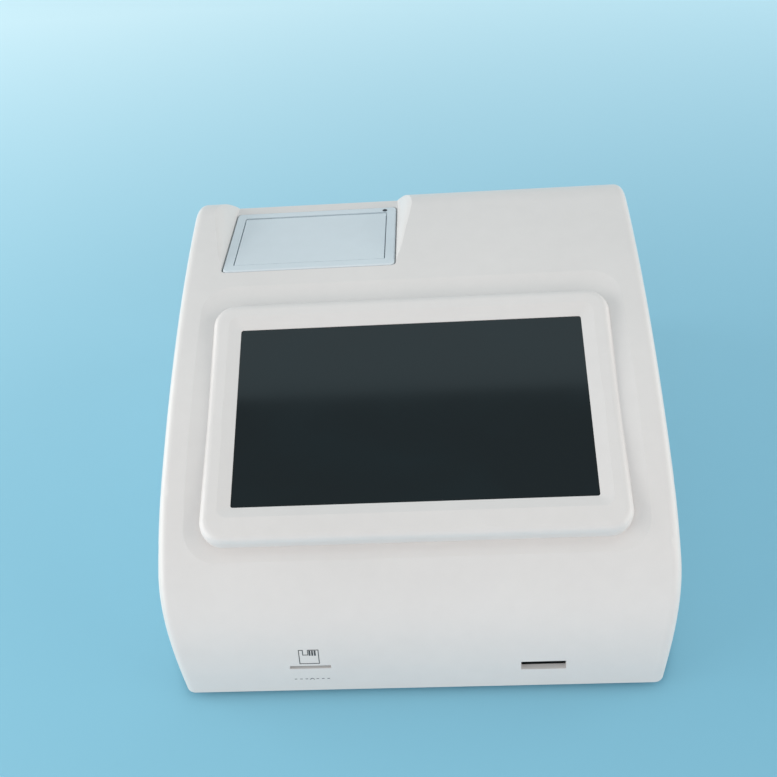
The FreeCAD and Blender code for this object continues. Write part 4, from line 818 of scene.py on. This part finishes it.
@dataclass
class Housing:
    """Top cover, base, feet and what is printed on the front.

    Attributes:
        symbol_centre: Middle of the card symbol, seen from the front (x and z).
        symbol_size: Width and height of the card symbol.
        notch: Shares of the symbol's width at the notch's two sides, and of its height that the notch takes.
        contacts: Shares of the symbol: place of the first contact bar, distance between two, drop and height.
        contact_weight: Width of a contact bar in printed lines.
        line: Width of the printed lines.
        marks_centre: Middle of the insertion marks under the chip-card slot.
        mark_pitch: Distance between two marks.
        mark_length: Length of a mark.
        arrow: Length, offset and slope in degrees of the two strokes of the middle mark.
        front: Where the printed pieces start, in front of the housing.
        screw_places: Axes of the six base screws.
        screw: The screw that they hold.
        screw_face: Level of the screw heads' outer faces.
    """

    symbol_centre: tuple[float, float] = (-0.0518, 0.02555)
    symbol_size: tuple[float, float] = (0.0092, 0.0075)
    notch: Point = (0.2, 0.46, 0.34)
    contacts: tuple[float, float, float, float] = (0.05, 0.135, 0.22, 0.36)
    contact_weight: float = 2.1
    line: float = 0.00038
    marks_centre: tuple[float, float] = (-0.0517, 0.0116)
    mark_pitch: float = 0.0026
    mark_length: float = 0.0012
    arrow: Point = (0.0015, 0.00052, 40.0)
    front: float = -0.16
    screw_places: tuple[tuple[float, float], ...] = tuple(
        (side * 0.108, row) for side in (-1, 1) for row in (-0.098, 0.020, 0.100))
    screw: CrossScrew = CrossScrew(0.0029, 0.0016, 0.0015, 0.0094)
    screw_face: float = 0.003

    def build(self) -> None:
        """Dresses the housing, drives its screws and prints its marks."""
        dress_nodes({"top_cover": HOUSING, "base_cover": BASE, "rubber_feet": RUBBER, "housing_screws": SCREW})
        self.drive_screws()
        self.print_card_symbol()
        self.print_insert_marks()

    def drive_screws(self) -> None:
        """Models one base screw and copies it to its six places."""
        start = self.screw_places[0]
        first = self.screw.build("base_screw_1", (*start, self.screw_face))
        screws = [first] + [Bench.copy(first, f"base_screw_{number}",
                                       Matrix.Translation((place[0] - start[0], place[1] - start[1], 0.0)))
                            for number, place in enumerate(self.screw_places[1:], 2)]
        for screw in screws:
            Bench.fit(screw, SCREW, "housing", "screw_steel")
            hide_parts("housing_screws")

    def bar(self, x: float, z: float, width: float, height: float) -> Piece:
        """Starts a printed bar in front of the housing, by its middle and its size."""
        return Bench.bar("bar", (x, self.front, z), width, height)

    def print_on(self, name: str, bars: Sequence[Piece]) -> None:
        """Joins bars, lays them on the front wall and finishes them as ink."""
        piece = Bench.join(name, bars)
        Bench.lay_on(piece, "top_cover", Axis.Y, INK_FILM)
        Bench.thicken(piece, INK_FILM)
        Bench.fit(piece, INK, "housing", "black_plastic")

    def print_card_symbol(self) -> None:
        """Prints the outline of a card with its notch and three contact bars."""
        x, z = self.symbol_centre
        width, height = self.symbol_size
        start, end, share = self.notch
        left, right, low, high = x - width / 2, x + width / 2, z - height / 2, z + height / 2
        near, far, floor = left + width * start, left + width * end, high - height * share
        line = self.line
        bars = [self.bar((a + b) / 2, level, b - a + line, line)
                for a, b, level in ((left, right, low), (left, near, high), (far, right, high), (near, far, floor))]
        bars += [self.bar(side, (low + high) / 2, line, height) for side in (left, right)]
        bars += [self.bar(side, (floor + high) / 2, line, high - floor) for side in (near, far)]
        first, pitch, drop, reach = self.contacts
        bars += [self.bar(x + width * (first + pitch * number), high - height * drop,
                          line * self.contact_weight, height * reach) for number in range(3)]
        self.print_on("card_symbol", bars)

    def print_insert_marks(self) -> None:
        """Prints a row of short marks under the chip-card slot."""
        x, z = self.marks_centre
        length, offset, slope = self.arrow
        bars = [self.bar(x + number * self.mark_pitch, z, self.mark_length, self.line)
                for number in (-3, -2, -1, 1, 2, 3)]
        for side in (-1, 1):
            stroke = self.bar(x, z, length, self.line)
            stroke.data.transform(Matrix.Translation((x + side * offset, self.front, z))
                                  @ Matrix.Rotation(side * math.radians(slope), 4, "Y")
                                  @ Matrix.Translation((-x, -self.front, -z)))
            bars.append(stroke)
        self.print_on("insert_marks", bars)


# ---------------------------------------------------------------- display, printer, scanner, rear panel


@dataclass
class Display:
    """Tilted touch display with its module, bracket, ribbon and screws."""

    def build(self) -> None:
        """Dresses the display."""
        dress_nodes({"display_glass": SCREEN, "lcd_module": LCD, "display_bracket": SHEET, "display_screws": SCREW,
                     "display_ribbon": RIBBON})


@dataclass
class Printer:
    """Panel printer with its door, platen, gears, head and paper."""

    def build(self) -> None:
        """Dresses the printer."""
        dress_nodes({"printer_frame": PRINTER, "printer_door": PRINTER, "door_hinge_pin": SHAFT,
                     "platen_roller": RUBBER, "platen_gear": GEAR, "idler_gear": GEAR, "motor_pinion": BRASS,
                     "printer_motor": SHELL, "printer_chassis": SHEET, "print_head": CERAMIC, "head_springs": SCREW,
                     "paper_roll": PAPER, "paper_core": CORE, "paper_lamp": DARK_LAMP})


@dataclass
class Scanner:
    """Test-card slot with its chassis, carrier, drive and optics, and the main board beside it."""

    def build(self) -> None:
        """Dresses the scanner and the board."""
        dress_nodes({"reader_chassis": GREY, "guide_rods": SHAFT, "card_carrier": BLACK, "lead_screw": SHAFT,
                     "carrier_motor": SHELL, "home_sensor": BLACK, "optical_head": OPTICS, "objective_lens": LENS,
                     "excitation_lamp": LAMP, "photo_sensor": BLACK, "main_board": BOARD, "board_screws": SCREW,
                     "board_components": BLACK, "id_card_socket": BLACK, "buzzer": BLACK})


@dataclass
class RearPanel:
    """Rear panel with the switch and the sockets.

    Attributes:
        level: Height of the sockets' middle.
        sheet: Outer face of the sheet.
        behind: Where pieces that are laid on from the rear start.
        usb_places: Middles of the two flat sockets.
        clearance: Distance that keeps fitted pieces from the solids.
        usb_tongue: Size of their tongues.
        usb_strip: Size of a contact strip on a tongue.
        usb_pitch: Distance between the strips.
        lan_place: Middle of the network socket.
        lan_pitch: Distance between its contacts.
        lan_wire: Size of a contact wire.
        lan_slope: Slope of the wires in degrees.
        serial_place: Middle of the serial socket.
        serial_insert: Size of its insert at the top.
        serial_taper: Share of the insert's width at the bottom.
        serial_pitch: Distance between its holes across, and half of that up.
        serial_hole: Radius of a hole.
        inlet_place: Middle of the power inlet.
        pin: Radius and length of its centre pin.
        switch_place: Middle of the switch.
        sign_offset: Distance of the signs from the middle.
        on_sign: Width and height of the stroke.
        off_sign: Radius of the ring, and the share of it that is open.
    """

    level: float = 0.030
    sheet: float = 0.1274
    behind: float = 0.136
    usb_places: tuple[float, float] = (-0.009, 0.008)
    clearance: float = 0.00003
    usb_tongue: Point = (0.01128, 0.0136, 0.00196)
    usb_strip: Point = (0.0011, 0.0086, 0.00012)
    usb_pitch: float = 0.0024
    lan_place: float = 0.028
    lan_pitch: float = 0.00102
    lan_wire: Point = (0.00038, 0.0078, 0.00038)
    lan_slope: float = 15.0
    serial_place: float = 0.060
    serial_insert: Point = (0.0159, 0.00125, 0.0073)
    serial_taper: float = 0.824
    serial_pitch: tuple[float, float] = (0.00274, 0.00142)
    serial_hole: float = 0.00058
    inlet_place: float = -0.026
    pin: tuple[float, float] = (0.00104, 0.0141)
    switch_place: float = -0.047
    sign_offset: float = 0.0042
    on_sign: tuple[float, float] = (0.00042, 0.0028)
    off_sign: tuple[float, float] = (0.0014, 0.7)

    def build(self) -> None:
        """Dresses the panel and fits tongues, contacts and marks."""
        dress_nodes({"rear_panel": PANEL, "panel_screws": SCREW, "power_inlet": BLACK, "switch_frame": BLACK,
                     "power_rocker": ROCKER, "usb_ports": SHELL, "lan_port": SHELL, "serial_port": SHELL,
                     "serial_nuts": BRASS})
        self.fit_usb()
        self.fit_lan()
        self.fit_serial()
        self.fit_inlet()
        self.mark_rocker()

    def fit_usb(self) -> None:
        """Models one tongue with its four contacts and copies it to the second socket."""
        _, along, up = self.usb_tongue
        x = self.usb_places[0]
        middle = self.sheet - along / 2 + self.clearance
        low = self.level - self.clearance
        tongue = Bench.cube("usb_tongue_1", (x, middle, low + up / 2), self.usb_tongue)
        Bench.round_edges(tongue, 0.00018, 2)
        strips = []
        for number in range(4):
            strip = Bench.cube("strip", (x + (number - 1.5) * self.usb_pitch, middle + 0.0018, low), self.usb_strip)
            Bench.round_edges(strip, 0.00004, 1)
            strips.append(strip)
        strips = Bench.join("usb_strips_1", strips)
        shift = Matrix.Translation((self.usb_places[1] - x, 0.0, 0.0))
        for piece, finish in ((tongue, BLACK), (strips, GOLD)):
            twin = Bench.copy(piece, piece.name.replace("_1", "_2"), shift)
            Bench.fit(piece, finish, "housing", "black_plastic")
            Bench.fit(twin, finish, "housing", "black_plastic")

    def fit_lan(self) -> None:
        """Models one slanting contact wire of the network socket and copies it in a row of eight."""
        x = self.lan_place - 3.5 * self.lan_pitch
        centre = (x, self.sheet - 0.0052, self.level + 0.0022)
        wire = Bench.cube("lan_wire_1", centre, self.lan_wire)
        Bench.round_edges(wire, 0.0001, 2)
        away = Matrix.Translation(centre)
        wire.data.transform(away @ Matrix.Rotation(math.radians(self.lan_slope), 4, "X") @ away.inverted())
        wires = [wire] + [Bench.copy(wire, f"lan_wire_{number + 1}",
                                     Matrix.Translation((number * self.lan_pitch, 0, 0))) for number in range(1, 8)]
        for piece in wires:
            Bench.fit(piece, GOLD, "housing", "brass")

    def fit_serial(self) -> None:
        """Models the serial socket's tapered insert with its nine holes."""
        _, along, up = self.serial_insert
        x, y = self.serial_place, self.sheet + along / 2 + 0.00002
        insert = Bench.cube("serial_insert", (x, y, self.level), self.serial_insert)
        Bench.pick(insert, lambda face: face.normal.z < -0.9)
        bpy.ops.transform.resize(value=(self.serial_taper, 1.0, 1.0), center_override=(x, y, self.level - up / 2))
        Bench.clear()
        pitch, rise = self.serial_pitch
        for count, height in ((5, rise), (4, -rise)):
            for number in range(count):
                spot = (x + (number - (count - 1) / 2) * pitch, y + along / 2, self.level + height)
                Bench.cut(insert, Bench.rod("hole", spot, self.serial_hole, along * 1.4, Axis.Y, 20))
        Bench.round_edges(insert, 0.00008, 1, 50.0)
        Bench.fit(insert, BLACK, "housing", "black_plastic")

    def fit_inlet(self) -> None:
        """Models the bright sleeve of the inlet's centre pin."""
        pin = Bench.rod("inlet_pin", (self.inlet_place, self.sheet - 0.0070, self.level), *self.pin, Axis.Y, 28)
        Bench.round_edges(pin, 0.0004, 3)
        Bench.fit(pin, SHELL, "housing", "shell_metal")

    def mark_rocker(self) -> None:
        """Prints the on and off signs on the rocker."""
        radius, open_share = self.off_sign
        stroke = Bench.bar("on_sign", (self.switch_place - self.sign_offset, self.behind, self.level), *self.on_sign)
        centre = (self.switch_place + self.sign_offset, self.behind, self.level)
        bpy.ops.mesh.primitive_circle_add(vertices=40, radius=radius, location=centre, rotation=(math.pi / 2, 0, 0))
        ring = Bench.started("off_sign")
        bpy.ops.object.mode_set(mode="EDIT")
        bpy.ops.mesh.select_all(action="SELECT")
        bpy.ops.mesh.extrude_region()
        bpy.ops.transform.resize(value=(open_share, 1.0, open_share), center_override=centre)
        Bench.clear()
        marks = Bench.join("rocker_signs", [stroke, ring])
        Bench.lay_on(marks, "power_rocker", Axis.Y, INK_FILM, forward=False)
        Bench.thicken(marks, INK_FILM)
        Bench.fit(marks, WHITE_INK, "power_rocker", "rocker_plastic")


# ---------------------------------------------------------------- studio


@dataclass(frozen=True)
class SoftBox:
    """Rectangular area light.

    Attributes:
        name: Name of the light.
        place: Where it hangs.
        size: Its width and height.
        power: Its power in watts.
        colour: Its colour.
        aim: Point that it faces.
    """

    name: str
    place: Point
    size: tuple[float, float]
    power: float
    colour: Colour = (1.0, 1.0, 1.0)
    aim: Point = (0.0, 0.0, 0.05)


@dataclass
class Studio:
    """Floor, lights and camera.

    Attributes:
        camera_place: Where the camera stands.
        camera_turn: Rows of the camera's rotation; its columns are right, up and back.
        lens: Focal length for a 36 mm sensor.
        room: Colour and level of the room light.
        soft_boxes: Low boxes beside and before the reader, and two overhead: a tinted one to the rear, and a
            small one that the screen mirrors.
        floor_size: Side of the floor.
        floor_across: Where the floor's colour starts and stops changing from left to right.
        floor_along: The same from front to rear.
        floor_near: Floor colours before the reader, left and right.
        floor_far: Floor colours behind the reader, left and right.
    """

    camera_place: Point = (0.01755, -0.35569, 0.44669)
    camera_turn: tuple[Point, Point, Point] = ((0.99749, 0.04016, 0.05827), (0.01111, 0.72438, -0.68931),
                                               (-0.06989, 0.68823, 0.72212))
    lens: float = 46.33
    room: Colour = (0.600, 0.615, 0.625)
    soft_boxes: tuple[SoftBox, ...] = (
        SoftBox("left_box", (-1.3, -0.1, 0.36), (1.8, 0.7), 13.3, (1.0, 0.98, 0.95)),
        SoftBox("right_box", (1.3, -0.1, 0.36), (1.8, 0.7), 8.8, (1.0, 0.95, 0.88)),
        SoftBox("front_box", (0.0, -1.5, 0.33), (2.0, 0.6), 4.6, (1.0, 0.82, 0.76)),
        SoftBox("rear_box", (0.0, 1.224, 1.6), (2.4, 2.0), 3.0, (0.2, 0.8, 1.0), (0.0, 1.224, 0.0)),
        SoftBox("screen_box", (-0.05, 0.407, 1.5), (1.3, 0.4), 1.25, (0.85, 0.96, 1.0), (-0.05, 0.407, 0.0)))
    floor_size: float = 8.0
    floor_across: tuple[float, float] = (-0.30, 0.30)
    floor_along: tuple[float, float] = (-0.20, 0.60)
    floor_near: tuple[Colour, Colour] = ((0.279, 0.598, 0.753), (0.222, 0.512, 0.672))
    floor_far: tuple[Colour, Colour] = ((0.662, 0.901, 0.985), (0.600, 0.875, 0.985))

    def build(self) -> None:
        """Builds the studio."""
        self.lay_floor()
        self.light_world()
        self.hang_lights()
        self.set_camera()
        bpy.context.scene.view_settings.view_transform = "Standard"

    def lay_floor(self) -> None:
        """Lays a blue floor blended from four corner colours, lighter to the rear and to the left: painted light
        falloff.
        """
        Bench.clear()
        bpy.ops.mesh.primitive_plane_add(size=self.floor_size, location=(0.0, 1.0, 0.0))
        floor = Bench.started("studio_floor")
        paint = bpy.data.materials.new("floor_finish")
        paint.use_nodes = True
        desk = Desk(paint.node_tree)
        shader = paint.node_tree.nodes["Principled BSDF"]
        where = desk.add("ShaderNodeSeparateXYZ", {0: desk.place()}).outputs
        side = desk.ramp(where[0], *self.floor_across)
        depth = desk.ramp(where[1], *self.floor_along)
        near, far = (desk.blend(side, rgba(left), rgba(right)) for left, right in (self.floor_near, self.floor_far))
        # Painted light falloff: the floor's colour is darker towards the front and the right.
        desk.feed(shader.inputs["Base Color"], desk.blend(desk.math("MULTIPLY", depth, depth), near, far))
        shader.inputs["Roughness"].default_value = 0.9
        shader.inputs["Specular IOR Level"].default_value = 0.1
        floor.data.materials.append(paint)

    def light_world(self) -> None:
        """Sets a soft, nearly white room light."""
        world = bpy.data.worlds.new("studio_world")
        bpy.context.scene.world = world
        world.use_nodes = True
        back = world.node_tree.nodes["Background"]
        back.inputs["Color"].default_value = rgba(self.room)
        back.inputs["Strength"].default_value = 1.0

    def hang_lights(self) -> None:
        """Hangs the soft boxes, each aimed at the reader."""
        for box in self.soft_boxes:
            Bench.clear()
            bpy.ops.object.light_add(type="AREA", location=box.place)
            light = bpy.context.object
            light.name = box.name
            light.data.shape = "RECTANGLE"
            light.data.size, light.data.size_y = box.size
            light.data.energy = box.power
            light.data.color = box.colour
            aim = Vector(box.aim) - Vector(box.place)
            light.rotation_euler = aim.to_track_quat("-Z", "Y").to_euler()

    def set_camera(self) -> None:
        """Sets the camera where the photograph was taken from."""
        Bench.clear()
        bpy.ops.object.camera_add()
        camera = bpy.context.object
        camera.name = "photo_camera"
        camera.data.lens = self.lens
        camera.data.sensor_width = 36.0
        camera.data.clip_start = 0.01
        turn = Matrix(self.camera_turn).to_4x4()
        camera.matrix_world = Matrix.Translation(self.camera_place) @ turn
        bpy.context.scene.camera = camera


def main() -> None:
    """Builds every part of the scene in order."""
    logging.basicConfig(level=logging.INFO, format="%(name)s: %(message)s")
    for part in (Housing(), Display(), Printer(), Scanner(), RearPanel(), Studio()):
        part.build()
        log.info("%s is done", type(part).__name__)


if __name__ == "__main__":
    main()
